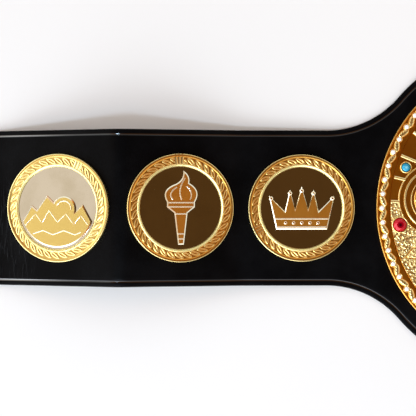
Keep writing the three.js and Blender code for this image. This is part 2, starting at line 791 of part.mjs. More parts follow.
// Raised ring in the middle, with a star in a wreath of leaves.
function medallion() {
  const pieces = [
    ring(MEDALLION_RADIUS, MEDALLION_RADIUS - MEDALLION_LINE, RELIEF_ROOT, RELIEF_TOP, RING_SIDES),
    star(STAR_RADIUS, STAR_WAIST, RELIEF_ROOT, RELIEF_FLOOR + STAR_HEIGHT),
  ];
  const turn = 180 / (LEAF_PAIRS + 1);
  for (let i = 1; i <= LEAF_PAIRS; i++) {
    for (const sign of [-1, 1]) {
      const a = (-90 + sign * i * turn) * DEG;
      const tip = leaf(LEAF_LENGTH, LEAF_WIDTH, RELIEF_ROOT, RELIEF_FLOOR + LEAF_RISE);
      tip.rotateZ(Math.PI / 2 + sign * LEAF_TILT).translate(WREATH_RADIUS, 0, 0);
      pieces.push(tip.rotateZ(a));
    }
  }
  return pieces.map((g) => g.translate(0, ROUNDEL_RISE, 0));
}

function centrePlate() {
  const pieces = [
    disc(CENTRE_RADIUS, 0, CENTRE_BACK, CENTRE_SIDES),
    disc(FIELD_RADIUS, RELIEF_ROOT / 2, RELIEF_FLOOR, CENTRE_SIDES),
    ...roundel(-1),
    ...roundel(1),
    ...medallion(),
  ];
  const crown = outlineOf(crownShape(CROWN_WIDTH, CROWN_HEIGHT), 1);
  pieces.push(bevelledPlate(crown, RELIEF_ROOT, RELIEF_TOP, EMBLEM_BEVEL).translate(0, CROWN_BASE_Y, 0));
  for (const stone of STONES) {
    const [x, y] = polar(FIELD_RADIUS - stone.inset, stone.above, stone.sign);
    const inner = stone.radius + GAP;
    const collar = ring(inner + COLLAR_WALL, inner, RELIEF_ROOT, RELIEF_FLOOR + COLLAR_HEIGHT, STONE_SIDES);
    pieces.push(collar.translate(x, y, 0));
  }
  let solid = fuse(pieces).add(fieldRelief());
  for (const row of FASTENERS.filter((f) => f.name.startsWith("post_centre"))) {
    const hole = POST_HOLE.clone().translate(row.s, row.y, -STRAP_THICKNESS - GAP);
    solid = solid.subtract(toSolid(hole));
  }
  return toGeometry(solid);
}

// Cut stone on its flat back: girdle, eight sloping facets and a table.
function cutStone(radius, height) {
  const profile = [[0, 0], [radius * 0.85, 0], [radius, height * 0.4], [radius * 0.58, height], [0, height]];
  return revolve(profile, STONE_SIDES);
}

// Ring let round the rim: a channel with small clear stones and a leaf between each two.
function stoneBand() {
  const outer = CENTRE_RADIUS;
  const inner = CENTRE_RADIUS - BAND_WIDTH;
  const middle = (outer + inner) / 2;
  const profile = [
    [inner, 0],
    [outer, 0],
    [outer, RIM_TOP],
    [outer - RIM_LIP, RIM_FLOOR],
    [inner + RIM_LIP, RIM_FLOOR],
    [inner, RIM_TOP],
    [inner, 0],
  ];
  const pieces = [revolve(profile, CENTRE_SIDES)];
  const pitch = (2 * Math.PI) / RIM_STONE_COUNT;
  for (let i = 0; i < RIM_STONE_COUNT; i++) {
    const stone = disc(RIM_STONE_RADIUS, RIM_FLOOR / 2, RIM_FLOOR + RIM_STONE_HEIGHT, RIM_STONE_SIDES);
    pieces.push(stone.translate(middle + RIM_STONE_SHIFT, 0, 0).rotateZ(i * pitch));
    const vine = leaf(VINE_LENGTH, VINE_WIDTH, RIM_FLOOR / 2, RIM_TOP);
    vine.rotateZ(Math.PI / 2 + (i % 2 ? 1 : -1) * VINE_TILT).translate(middle, 0, 0);
    pieces.push(vine.rotateZ((i + 0.5) * pitch));
  }
  return toGeometry(fuse(pieces));
}

// Everything on the round plate in the middle of the belt.
function centreAssembly() {
  const { seat, plate } = plateGroup(0);
  plate.add(finish("centre_plate", centrePlate(), GILT));
  const band = finish("stone_band", stoneBand(), GILT);
  band.position.z = CENTRE_BACK + GAP;
  plate.add(band);
  for (const row of STONES) {
    const stone = finish(row.name, cutStone(row.radius, row.height), row.look);
    const [x, y] = polar(FIELD_RADIUS - row.inset, row.above, row.sign);
    stone.position.set(x, y, RELIEF_FLOOR + GAP);
    plate.add(stone);
  }
  return seat;
}

const root = new THREE.Group();
root.name = "title_belt";
root.add(strap(), ...fasteners(), centreAssembly());
for (const side of SIDES) {
  for (const place of Object.keys(SEATS)) root.add(sidePlate(place, side));
}

export default root;
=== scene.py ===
"""Championship title belt: leather, gilt castings, mirrors and stones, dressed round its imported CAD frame."""
import math

import bpy
import numpy as np
from mathutils import Matrix, Vector


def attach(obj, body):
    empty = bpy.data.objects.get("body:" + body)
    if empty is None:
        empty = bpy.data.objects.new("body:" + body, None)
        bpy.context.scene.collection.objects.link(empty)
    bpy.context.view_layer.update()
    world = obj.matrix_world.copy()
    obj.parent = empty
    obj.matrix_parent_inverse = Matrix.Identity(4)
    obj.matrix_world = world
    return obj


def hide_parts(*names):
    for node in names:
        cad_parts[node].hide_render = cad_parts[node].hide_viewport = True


bl_info = {
    "name": "Title Belt",
    "version": (1, 0, 0),
    "blender": (4, 5, 0),
    "location": "View3D > Sidebar > Belt",
    "description": "Dresses a championship title belt: strap, round plates, laurel rims, mirrors and stones",
    "category": "Add Mesh",
}

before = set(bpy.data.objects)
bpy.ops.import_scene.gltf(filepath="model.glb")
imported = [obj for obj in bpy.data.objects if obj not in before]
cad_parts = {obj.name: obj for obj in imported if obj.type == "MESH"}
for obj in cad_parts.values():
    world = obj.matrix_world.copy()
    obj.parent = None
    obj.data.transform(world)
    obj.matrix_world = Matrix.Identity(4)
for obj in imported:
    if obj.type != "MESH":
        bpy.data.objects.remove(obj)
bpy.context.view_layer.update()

MM = 0.001
DEG = math.pi / 180.0
SIDES = (("left", -1.0), ("right", 1.0))

# The frame's own sizes, in millimetres
GAP = 0.3
STRAP_THICKNESS = 3.0
HALF_WIDTH = 70.0
END_HALF_WIDTH = 69.0
END_CORNER = 36.0
END_FLAT = END_HALF_WIDTH - END_CORNER
FLARE_MARGIN = 16.6
FLARE_FILLET = 87.0
SIDE_BACK = 2.2
MIRROR_TOP = 3.3
MIRROR_RADIUS = 36.7
EMBLEM_THICKNESS = 1.1
CENTRE_RADIUS = 136.0
BAND_BASE = 2.9
FIELD_RADIUS = 124.0
FIELD_TOP = 3.2
RELIEF_ROOT = 2.2
RELIEF_TOP = 5.2
LINE_RADIUS = 93.8
ROUNDEL_OFFSET = 83.0
ROUNDEL_RISE = 7.7
ROUNDEL_RIM = 32.8
RIB_ANGLES = (2.8, 13.0, 22.5, 33.5)
NUGGET_INNER = 94.2
NUGGET_OUTER = 123.2
STONE_SEAT = 3.5
RIM_STONES = 64
RIM_PITCH = 2.0 * math.pi / RIM_STONES
VINE_CIRCLE = 130.15
STONE_CIRCLE = 130.95
POST_X = 92.0
POST_Y = 62.0
SNAP_Y = 42.0
SNAP_INSET = 30.0
# Coloured stones: kind, radius, height, distance in from the field's edge, degrees above the middle
STONE_KINDS = (("blue", 3.85, 3.2, 8.5, 18.4), ("red", 6.0, 4.2, 8.0, -7.5))

# Stretches of the strap from the middle to an end: length along the leather and the slope it ends on
STRETCHES = (
    (149.9, 0.0),
    (5.5, 3.2),
    (97.0, 3.2),
    (13.5, 12.8),
    (94.5, 12.8),
    (17.0, None),
    (94.5, None),
    (26.0, 0.0),
    (150.0, 0.0),
)
HALF_LENGTH = sum(row[0] for row in STRETCHES)
# Middles of the side plates along the leather
SEATS = {"inner": 203.9, "middle": 314.4, "outer": 423.4}
# Countersunk hole and head of a fastener, as (radius, height over the strap's underside)
HOLE = ((0.0, -1.0), (4.7, -1.0), (4.7, 0.5), (2.3, 1.7), (2.3, 4.0), (0.0, 4.0))
HEAD = ((0.0, 0.3), (4.1, 0.3), (4.4, 0.45), (2.0, 1.4))

# Laurel of the side plates, in millimetres and degrees
LAUREL_CIRCLE = 41.8
LAUREL_GROUND = 4.1
LEAF_HALF_LENGTH = 4.4
LEAF_HALF_WIDTH = 1.2
LEAF_TILT = 33.0
LEAF_EDGE = 0.36
RIBBON_HALF_WIDTH = 4.1
BINDING_ANGLES = {"inner": 206.0, "middle": 92.0, "outer": 62.0}


# Sizes and colours that a user may change

def size(name, description, default):
    return bpy.props.FloatProperty(
        name=name, description=description, default=default, unit="LENGTH", precision=5)


def colour(name, description, default):
    return bpy.props.FloatVectorProperty(name=name, description=description, default=default, subtype="COLOR")


class BeltSizes(bpy.types.PropertyGroup):
    """Sizes of the finish that the frame doesn't hold."""

    crease_inset: size("Crease inset", "Distance of the creased line from the strap's edge", 0.005)
    crease_depth: size("Crease depth", "Depth of the creased line", 0.0007)
    leaf_count: bpy.props.IntProperty(
        name="Leaves", description="Laurel leaves round each side plate", default=36, min=12)
    leaf_rise: size("Leaf rise", "Height of a laurel leaf's edge over its ground", 0.00036)
    grain_pitch: size("Grain pitch", "Distance between grains of the nugget texture", 0.0017)
    grain_rise: size("Grain rise", "Height of the grains", 0.00095)
    floor_size: size("Floor size", "Side of the square floor", 30.0)


class BeltColours(bpy.types.PropertyGroup):
    """Colours of the belt's finishes and of the stage."""

    leather: colour("Leather", "Black leather", (0.0016, 0.0017, 0.0021))
    gilt: colour("Gilt", "Gold plating on raised work", (0.94, 0.81, 0.37))
    # Painted shade: the darker orange gilt laid into hollows, crevices and flat rims
    shade_painted_gilt: colour("Deep gilt", "Gold plating in hollows", (0.94, 0.52, 0.10))
    # Painted shade: the dark toned gold of the sunk fields and of the vine band's ground
    panel_painted_shade: colour("Panel gilt", "Toned gold of the sunk fields", (0.84, 0.33, 0.025))
    overlay: colour("Overlay", "Satin gold of the raised motifs", (0.98, 0.47, 0.07))
    mirror: colour("Mirror", "Polished nickel", (0.86, 0.83, 0.76))
    steel: colour("Steel", "Plated fasteners", (0.62, 0.62, 0.64))
    clear_stone: colour("Clear stone", "Small stones of the rim", (0.98, 0.98, 0.98))
    blue_stone: colour("Blue stone", "Aqua stones", (0.01, 0.32, 0.54))
    red_stone: colour("Red stone", "Red stones", (0.52, 0.002, 0.014))
    floor: colour("Floor", "Pale floor", (0.86, 0.875, 0.87))
    ceiling: colour("Ceiling", "Dark brown ceiling that the mirrors show", (0.085, 0.038, 0.009))
    halo: colour("Halo", "Amber light round the dark ceiling", (0.72, 0.25, 0.02))
    walls: colour("Walls", "Bright walls round the table", (0.95, 1.00, 1.02))
    left_wall: colour("Left wall", "Beige wall on the left", (0.80, 0.69, 0.55))


def sizes():
    return bpy.context.scene.belt_sizes


def colours():
    return bpy.context.scene.belt_colours


# Shader sockets that can be added and multiplied

class Wire:
    """One output socket; sums and products of wires add the Math nodes that they need."""

    def __init__(self, look, socket):
        self.look = look
        self.socket = socket

    def math(self, operation, *others):
        inputs = dict(enumerate((self, *others)))
        return self.look.out(self.look.node("ShaderNodeMath", {"operation": operation}, inputs))

    def __add__(self, other):
        return self.math("ADD", other)

    __radd__ = __add__

    def __mul__(self, other):
        return self.math("MULTIPLY", other)

    __rmul__ = __mul__

    def __sub__(self, other):
        return self.math("SUBTRACT", other)

    def __rsub__(self, other):
        return (self * -1.0) + other

    def __abs__(self):
        return self.math("ABSOLUTE")

    def step(self, low, high):
        """0 below low, 1 above high, smooth between."""
        settings = {"interpolation_type": "SMOOTHSTEP", "clamp": True}
        inputs = {"Value": self, "From Min": low, "From Max": high}
        return self.look.out(self.look.node("ShaderNodeMapRange", settings, inputs), "Result")


class Look:
    """A node tree being wired: a material, or the world."""

    def __init__(self, tree):
        self.tree = tree
        self.tree.nodes.clear()

    def node(self, kind, settings=None, inputs=None):
        node = self.tree.nodes.new(kind)
        for name, value in (settings or {}).items():
            setattr(node, name, value)
        for key, value in (inputs or {}).items():
            if isinstance(value, Wire):
                self.tree.links.new(value.socket, node.inputs[key])
            else:
                node.inputs[key].default_value = value
        return node

    def out(self, node, name=0):
        return Wire(self, node.outputs[name])

    def place(self):
        """Position on the object, in metres."""
        return self.out(self.node("ShaderNodeTexCoord"), "Object")

    # The hollow value is the mask by which the finishes paint shade, highlights and reflections, and lay the
    # leather's coat
    def hollow(self):
        """The mesh's own hollow value, 0 where it has none."""
        return self.out(self.node("ShaderNodeAttribute", {"attribute_name": "hollow"}), "Fac")

    def split(self, vector):
        node = self.node("ShaderNodeSeparateXYZ", None, {"Vector": vector})
        return [self.out(node, axis) for axis in "XYZ"]

    def stretch(self, vector, scale):
        return self.out(self.node("ShaderNodeVectorMath", {"operation": "MULTIPLY"}, {0: vector, 1: scale}))

    def toward(self, vector, direction):
        """How far the vector points in a direction: 1 along it, 0 across it."""
        inputs = {0: vector, 1: tuple(Vector(direction).normalized())}
        return self.out(self.node("ShaderNodeVectorMath", {"operation": "DOT_PRODUCT"}, inputs), "Value")

    def cone(self, vector, direction, outer, inner):
        """1 within the inner angle of a direction, in degrees, and 0 beyond the outer."""
        return self.toward(vector, direction).step(math.cos(outer * DEG), math.cos(inner * DEG))

    def noise(self, vector, scale, detail, roughness):
        inputs = {"Vector": vector, "Scale": scale, "Detail": detail, "Roughness": roughness}
        return self.out(self.node("ShaderNodeTexNoise", None, inputs), "Fac")

    def cells(self, vector, scale, feature="F1"):
        inputs = {"Vector": vector, "Scale": scale}
        return self.out(self.node("ShaderNodeTexVoronoi", {"feature": feature}, inputs), "Distance")

    def mix(self, factor, a, b):
        """Colour a where factor is 0, b where it is 1."""
        a, b = [each if isinstance(each, Wire) else (*each, 1.0) for each in (a, b)]
        return self.out(self.node("ShaderNodeMix", {"data_type": "RGBA"}, {0: factor, 6: a, 7: b}), 2)

    def bump(self, height, distance, strength):
        inputs = {"Height": height, "Distance": distance, "Strength": strength}
        return self.out(self.node("ShaderNodeBump", None, inputs))

    def surface(self, inputs):
        shader = self.node("ShaderNodeBsdfPrincipled", None, inputs)
        self.node("ShaderNodeOutputMaterial", None, {"Surface": self.out(shader)})


def new_look(name):
    made = bpy.data.materials.new(name)
    made.use_nodes = True
    return made, Look(made.node_tree)


# Finishes

def leather_look():
    """Black leather with pores, folds where it lands, and a creased line that is polished toward the ends."""
    made, look = new_look("black_leather_finish")
    at = look.place()
    x, y, _ = look.split(at)
    landing_x = 0.462
    folds_below = 0.02
    worn = (0.0035, 0.0037, 0.0044)
    pores = look.cells(at, 1400.0)
    pebble = look.cells(look.stretch(at, (1.0, 0.8, 1.0)), 620.0, "SMOOTH_F1")
    cloud = look.noise(at, 26.0, 4.0, 0.6)
    smear = look.noise(look.stretch(at, (1.0, 0.3, 1.0)), 90.0, 3.0, 0.6)
    fold = look.noise(look.stretch(at, (1.0, 0.12, 1.0)), 420.0, 2.0, 0.5).step(0.52, 0.62)
    at_landing = 1.0 - abs(abs(x) - landing_x).step(0.006, 0.028)
    folded = at_landing * (1.0 - abs(y + folds_below).step(0.02, 0.055))
    height = pebble * 0.35 + pores * 0.12 + smear * 0.25 + fold * folded * 1.2
    toward_end = abs(x).step(0.40, 0.46)
    look.surface({
        "Base Color": look.mix(cloud.step(0.35, 0.7), colours().leather, worn),
        "Roughness": 0.26 + cloud * 0.12 + pores * 0.05,
        "Specular IOR Level": 0.06,
        "Coat Weight": look.hollow().step(0.1, 0.9) * (0.25 + toward_end * 0.75),
        "Coat Roughness": 0.08,
        "Coat IOR": 3.2,
        "Normal": look.bump(height, 0.00032, 0.6),
    })
    return made


def outer_plates_painted_light(look, at):
    """Painted light: 1 on the outer side plates, whose plating is painted lighter and less orange, and 0 on the
    others.
    """
    return abs(look.split(at)[0]).step(0.358, 0.366)


def gilt_look():
    """Gold plate with painted shade: a darker orange where the mesh's own hollow value nears 1, and the darker
    painted shade of the sunk panels where it nears 2.
    """
    found = bpy.data.materials.get("gilt_casting_finish")
    if found:
        return found
    made, look = new_look("gilt_casting_finish")
    at = look.place()
    painted_lit_hollows = (0.76, 0.53, 0.16)
    hollow = look.hollow()
    cloud = look.noise(at, 60.0, 4.0, 0.6)
    grain = look.noise(at, 1500.0, 2.0, 0.5)
    # Painted shade: the clouded hollow value sets how much darker gilt is laid on
    depth = (hollow + cloud * 0.2 - 0.1).step(0.1, 0.95)
    # Painted light: the outer plates' hollows get a lighter gilt
    painted_shade_colour = look.mix(outer_plates_painted_light(look, at), colours().shade_painted_gilt, painted_lit_hollows)
    gilt_and_shade = look.mix(depth, colours().gilt, painted_shade_colour)
    look.surface({
        # Painted shade: hollow values near 2 lay the dark panel shade on
        "Base Color": look.mix(hollow.step(1.0, 1.7), gilt_and_shade, colours().panel_painted_shade),
        "Metallic": 1.0,
        "Roughness": 0.24 + cloud * 0.08 + depth * 0.02,
        "Normal": look.bump(grain, 0.00004, 0.4),
    })
    return made


def overlay_look():
    """Satin gold with a painted highlight: pale colour on the polished bevels and raised lines, where the
    mesh's own hollow value is low.
    """
    made, look = new_look("gilt_overlay_finish")
    at = look.place()
    # Painted highlight: pale colour on bevels and raised lines
    edges = (0.97, 0.88, 0.66)
    clouded = (0.95, 0.42, 0.05)
    painted_lit_satin = (0.70, 0.52, 0.16)
    inside = look.hollow().step(0.3, 0.9)
    cloud = look.noise(at, 70.0, 4.0, 0.6)
    brush = look.noise(look.stretch(at, (1.0, 0.15, 1.0)), 900.0, 2.0, 0.6)
    satin = look.mix(cloud.step(0.3, 0.75), colours().overlay, clouded)
    # Painted light: the outer plates' satin is made lighter and less orange
    satin = look.mix(outer_plates_painted_light(look, at), satin, painted_lit_satin)
    look.surface({
        "Base Color": look.mix(inside, edges, satin),
        "Metallic": 1.0,
        "Roughness": 0.14 + inside * 0.22 + brush * 0.04,
        "Normal": look.bump(brush, 0.00003, 0.4),
    })
    return made


def mirror_look():
    """Polished nickel, a little clouded and wavy."""
    made, look = new_look("silvered_mirror_finish")
    at = look.place()
    clouded = (0.74, 0.70, 0.60)
    cloud = look.noise(at, 45.0, 3.0, 0.55)
    scratch = look.noise(look.stretch(at, (1.0, 0.1, 1.0)), 700.0, 2.0, 0.5)
    look.surface({
        "Base Color": look.mix(cloud.step(0.3, 0.8), colours().mirror, clouded),
        "Metallic": 1.0,
        "Roughness": 0.05 + cloud * 0.06 + scratch * 0.02,
        "Normal": look.bump(cloud, 0.0004, 0.5),
    })
    return made


def steel_look():
    """Plated steel, brushed and dulled in patches."""
    made, look = new_look("plated_steel_finish")
    at = look.place()
    dulled = (0.42, 0.41, 0.40)
    brush = look.noise(look.stretch(at, (1.0, 1.0, 0.2)), 1200.0, 2.0, 0.6)
    wear = look.noise(at, 200.0, 4.0, 0.6)
    look.surface({
        "Base Color": look.mix(wear.step(0.4, 0.75), colours().steel, dulled),
        "Metallic": 1.0,
        "Roughness": 0.22 + brush * 0.12,
        "Normal": look.bump(brush, 0.00004, 0.4),
    })
    return made


def stone_look(name, rim, middle, foil):
    """Foiled glass stone with a painted reflection: its colour goes over into another in the middle of the
    table.
    """
    made, look = new_look(f"{name}_glass")
    spark = look.noise(look.place(), 700.0, 1.0, 0.4)
    # Painted reflection: the mesh's hollow value marks the table's middle
    inward = (look.hollow() + spark * 0.2 - 0.1).step(0.5, 0.95)
    look.surface({
        "Base Color": look.mix(inward, rim, middle),
        "Metallic": foil,
        "Roughness": 0.05 + spark * 0.05,
        "Specular IOR Level": 0.4,
    })
    return made


# Mesh work, in millimetres

class Shells:
    """Collects closed shells, each with a hollow value per point, into one mesh object."""

    def __init__(self, base=None):
        self.base = base or Matrix.Identity(4)
        self.points = []
        self.faces = []
        self.hollow = []
        self.total = 0

    def add(self, shell, matrix=None, hollow=0.0):
        points = np.asarray(shell[0], dtype=float)
        hollow = shell[2] if len(shell) > 2 else hollow
        turn = np.array(self.base @ matrix if matrix else self.base)
        self.points.append(points @ turn[:3, :3].T + turn[:3, 3])
        self.faces.extend([tuple(int(i) + self.total for i in face) for face in shell[1]])
        self.hollow.append(np.broadcast_to(np.asarray(hollow, dtype=float), (len(points),)))
        self.total += len(points)
        return self

    def build(self, name, look, flat_angle):
        """The mesh object, with sharp edges where faces meet at more than flat_angle degrees."""
        mesh = bpy.data.meshes.new(name)
        mesh.from_pydata((np.concatenate(self.points) * MM).tolist(), [], self.faces)
        mesh.materials.append(look)
        layer = mesh.attributes.new("hollow", "FLOAT", "POINT")
        layer.data.foreach_set("value", np.concatenate(self.hollow))
        mesh.polygons.foreach_set("use_smooth", [True] * len(mesh.polygons))
        mesh.set_sharp_from_angle(angle=flat_angle * DEG)
        mesh.validate()
        piece = bpy.data.objects.new(name, mesh)
        bpy.context.scene.collection.objects.link(piece)
        return piece


def finish(piece, slot, *nodes):
    """Rides the piece on the belt and lets it stand for the nodes; slot is not used."""
    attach(piece, "root")
    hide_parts(*nodes)


def quads(rows, around, closed=True):
    """Faces between neighbouring rows of point numbers; points that coincide are dropped."""
    faces = []
    for low, high in zip(rows, rows[1:]):
        for i in range(around if closed else around - 1):
            j = (i + 1) % around
            face = [low[i], low[j], high[j], high[i]]
            kept = [v for k, v in enumerate(face) if v != face[k - 1]]
            if len(kept) > 2:
                faces.append(tuple(kept))
    return faces


def turned_over(faces):
    return [tuple(reversed(face)) for face in faces]


def turns(sides):
    """Angles of the points of a circle."""
    return np.arange(sides) * 2.0 * math.pi / sides


def polar_shell(profile, sides, lift=None):
    """Closed shell about Z from (radius, height) rows that go up outside; lift(r, a, z) moves the heights."""
    points = []
    rows = []
    angles = turns(sides)
    for radius, height in profile:
        if radius == 0.0:
            rows.append([len(points)] * sides)
            points.append((0.0, 0.0, height))
            continue
        rows.append(list(range(len(points), len(points) + sides)))
        heights = np.full(sides, height)
        if lift is not None:
            heights = heights + lift(radius, angles, height)
        points.extend(zip(radius * np.cos(angles), radius * np.sin(angles), heights))
    if profile[0][0] > 0.0:
        rows.append(rows[0])
    return points, quads(rows, sides)


def round_section(half, bottom, top):
    """Half round on straight walls, as (offset, height) rows from lower left round to upper left."""
    rise = min(half, (top - bottom) * 0.8)
    rows = [(-half, bottom), (half, bottom), (half, top - rise)]
    for i in range(1, 6):
        a = math.pi * i / 6.0
        rows.append((half * math.cos(a), top - rise + rise * math.sin(a)))
    return rows + [(-half, top - rise)]


def flat_section(half, bottom, top, bevel):
    """Flat top with bevels that fall five eighths of their width."""
    drop = 0.62 * bevel
    return [(-half, bottom), (half, bottom), (half, top - drop), (half - bevel, top),
            (bevel - half, top), (-half, top - drop)]


def sweep(path, section, closed=False):
    """Closed shell of a section of (offset, height) carried along a plan path; offset is to the right."""
    path = np.asarray(path, dtype=float)
    if closed:
        ahead = np.roll(path, -1, axis=0) - np.roll(path, 1, axis=0)
    else:
        ahead = np.gradient(path, axis=0)
    ahead /= np.linalg.norm(ahead, axis=1)[:, None]
    right = np.stack([ahead[:, 1], -ahead[:, 0]], axis=1)
    points = []
    rows = []
    k = len(section)
    for p, n in zip(path, right):
        rows.append(list(range(len(points), len(points) + k)))
        points.extend((p[0] + n[0] * o, p[1] + n[1] * o, z) for o, z in section)
    if closed:
        rows.append(rows[0])
        return points, turned_over(quads(rows, k))
    return points, [*turned_over(quads(rows, k)), tuple(rows[0]), tuple(reversed(rows[-1]))]


def plate(outline, bottom, top):
    """Closed plate of an anticlockwise outline; its upper edge is bevelled and its top counts as hollow, so the
    finishes paint the bevel lighter than the top.
    """
    bevel = 1.0
    fall = 0.6
    hollow_inset = 0.15
    outline = np.asarray(outline, dtype=float)
    n = len(outline)
    before = outline - np.roll(outline, 1, axis=0)
    after = np.roll(outline, -1, axis=0) - outline
    before /= np.linalg.norm(before, axis=1)[:, None]
    after /= np.linalg.norm(after, axis=1)[:, None]
    inward = np.stack([-before[:, 1] - after[:, 1], before[:, 0] + after[:, 0]], axis=1)
    inward /= np.maximum(np.linalg.norm(inward, axis=1), 1e-9)[:, None]
    mitre = np.maximum(0.6, inward[:, 1] * before[:, 0] - inward[:, 0] * before[:, 1])
    inset = outline + inward * (bevel / mitre)[:, None]
    flat = inset + inward * (hollow_inset / mitre)[:, None]
    points = []
    for loop, height in ((outline, bottom), (outline, top - fall), (inset, top), (flat, top)):
        points += [(x, y, height) for x, y in loop]
    rows = [list(range(i * n, (i + 1) * n)) for i in range(4)]
    faces = [tuple(reversed(rows[0])), *quads(rows, n), tuple(rows[3])]
    return points, faces, np.repeat([0.0, 1.0], [3 * n, n])


def cut_stone(radius, height):
    """Round stone: table, star facets, kites, girdle facets and a straight foot on a flat back."""
    # Loops of points: how many, shift in steps, width of the radius and level of the height
    loops = ((8, 0.0, 0.56, 1.0), (8, 0.5, 0.80, 0.70), (16, 0.0, 1.0, 0.34), (16, 0.0, 0.86, 0.0))
    points = []
    for count, shift, width, level in loops:
        for i in range(count):
            a = 2.0 * math.pi * (i + shift) / count
            points.append((width * radius * math.cos(a), width * radius * math.sin(a), level * height))
    points.append((0.0, 0.0, height))
    faces = [(i, (i + 1) % 8, 48) for i in range(8)] + [tuple(47 - i for i in range(16))]
    for i in range(8):
        before = 8 + (i - 1) % 8
        girdle = 16 + 2 * i
        faces.append((i, 8 + i, (i + 1) % 8))
        faces.append((i, before, girdle, 8 + i))
        faces.append((8 + i, girdle, girdle + 1))
        faces.append((8 + i, girdle + 1, 16 + (2 * i + 2) % 16))
    for i in range(16):
        j = (i + 1) % 16
        faces.append((16 + i, 32 + i, 32 + j, 16 + j))
    # The hollow value rises to the table's middle, where the finish paints a reflection
    return points, faces, np.repeat([0.55, 0.25, 0.0, 1.0], [8, 8, 32, 1])


# Where things sit on the strap

def walk(s, last_slope):
    """Place (x, z) and slope on the strap's underside at a distance s from the middle."""
    x = z = slope = 0.0
    left = s
    for length, end in STRETCHES:
        if left <= 0.0:
            break
        end = -last_slope * DEG if end is None else end * DEG
        run = min(left, length)
        turn = (end - slope) * run / length
        if abs(turn) > 1e-9:
            r = run / turn
            x += r * (math.sin(slope + turn) - math.sin(slope))
            z += r * (math.cos(slope) - math.cos(slope + turn))
        else:
            x += run * math.cos(slope)
            z += run * math.sin(slope)
        slope += turn
        left -= run
    return x, z, slope


def outer_slope():
    """The last slope, in degrees, that brings the strap back to the ground, found by halving."""
    low, high = 0.0, 60.0
    for _ in range(60):
        middle = (low + high) / 2.0
        if walk(HALF_LENGTH, middle)[1] > 0.0:
            low = middle
        else:
            high = middle
    return (low + high) / 2.0


LAST_SLOPE = outer_slope()


def seat(s, y=0.0, height=0.0):
    """Matrix of the place at a signed distance s along the strap, at a height over its underside."""
    x, z, slope = walk(abs(s), LAST_SLOPE)
    side = -1.0 if s < 0 else 1.0
    turn = Matrix.Rotation(-side * slope, 4, "Y")
    return Matrix.Translation((side * x, y, z)) @ turn @ Matrix.Translation((0.0, 0.0, height))


def plate_seat(place, sign):
    return seat(sign * SEATS[place], 0.0, STRAP_THICKNESS + GAP)


def fastener_seats():
    """Node, kind and place (s, y) of every post and press stud."""
    rows = []
    for side, sign in SIDES:
        for place, s in SEATS.items():
            rows.append((f"post_{place}_{side}", "post", sign * s, 0.0))
        for row, y in (("upper", POST_Y), ("lower", -POST_Y)):
            rows.append((f"post_centre_{side}_{row}", "post", sign * POST_X, y))
        kind = "snap_stud" if side == "left" else "snap_cap"
        for row, y in (("upper", SNAP_Y), ("middle", 0.0), ("lower", -SNAP_Y)):
            rows.append((f"{kind}_{row}", kind, sign * (HALF_LENGTH - SNAP_INSET), y))
    return rows


# Strap

def edge_stations():
    """Plan of one half of the strap's edge, unrolled: (s, y, ns, ny) from the middle to the corner's end."""
    lobe = CENTRE_RADIUS + FLARE_MARGIN
    fillet_y = HALF_WIDTH + FLARE_FILLET
    fillet_x = math.sqrt((lobe + FLARE_FILLET) ** 2 - fillet_y ** 2)
    join = math.atan2(fillet_y, fillet_x)
    corner_s = HALF_LENGTH - END_CORNER
    taper = (HALF_WIDTH - END_HALF_WIDTH) / (corner_s - fillet_x)
    rows = []
    for a in np.linspace(math.pi / 2, join, 56):
        ns, ny = math.cos(a), math.sin(a)
        rows.append((lobe * ns, lobe * ny, ns, ny))
    for a in np.linspace(math.pi + join, 1.5 * math.pi, 40)[1:]:
        ns, ny = -math.cos(a), -math.sin(a)
        rows.append((fillet_x - FLARE_FILLET * ns, fillet_y - FLARE_FILLET * ny, ns, ny))
    for s in np.arange(fillet_x + 2.0, corner_s - 1.0, 2.2):
        rows.append((s, HALF_WIDTH - taper * (s - fillet_x), 0.0, 1.0))
    for a in np.linspace(math.pi / 2, 0.0, 26):
        ns, ny = math.cos(a), math.sin(a)
        rows.append((corner_s + END_CORNER * ns, END_FLAT + END_CORNER * ny, ns, ny))
    return rows


def edge_section(crease, depth):
    """Section of the strap from the middle of its underside round the edge to the face: (inset, height)."""
    top = STRAP_THICKNESS
    return [
        (16.0, 0.0), (6.0, 0.0), (1.8, 0.0), (0.8, 0.12), (0.25, 0.5), (0.0, 1.1), (0.02, 1.6), (0.25, 2.1),
        (0.7, 2.45), (1.3, 2.6), (2.4, 2.66), (crease - 1.2, 2.62), (crease - 0.6, 2.55),
        (crease - 0.25, 2.4), (crease, top - depth), (crease + 0.3, 2.4), (crease + 0.7, 2.75),
        (crease + 1.4, 2.93), (crease + 3.0, 2.99), (16.0, top),
    ]


def strap_plan(across):
    """Clockwise (s, y, ns, ny) of the whole unrolled edge, and how many of them lie along its upper side."""
    half = edge_stations()
    upper = [(-s, y, -ns, ny) for s, y, ns, ny in reversed(half[1:])] + half
    ends = np.linspace(END_FLAT, -END_FLAT, across + 1)[1:-1]
    plan = upper + [(HALF_LENGTH, y, 1.0, 0.0) for y in ends]
    plan += [(s, -y, ns, -ny) for s, y, ns, ny in reversed(upper)]
    plan += [(-HALF_LENGTH, y, -1.0, 0.0) for y in reversed(ends)]
    return plan, len(upper)


def bent(points):
    """The unrolled points (s, y, height) carried onto the strap's bent line."""
    carried = []
    for s, y, height in points:
        x, z, slope = walk(abs(s), LAST_SLOPE)
        side = -1.0 if s < 0 else 1.0
        carried.append((side * (x - height * math.sin(slope)), y, z + height * math.cos(slope)))
    return carried


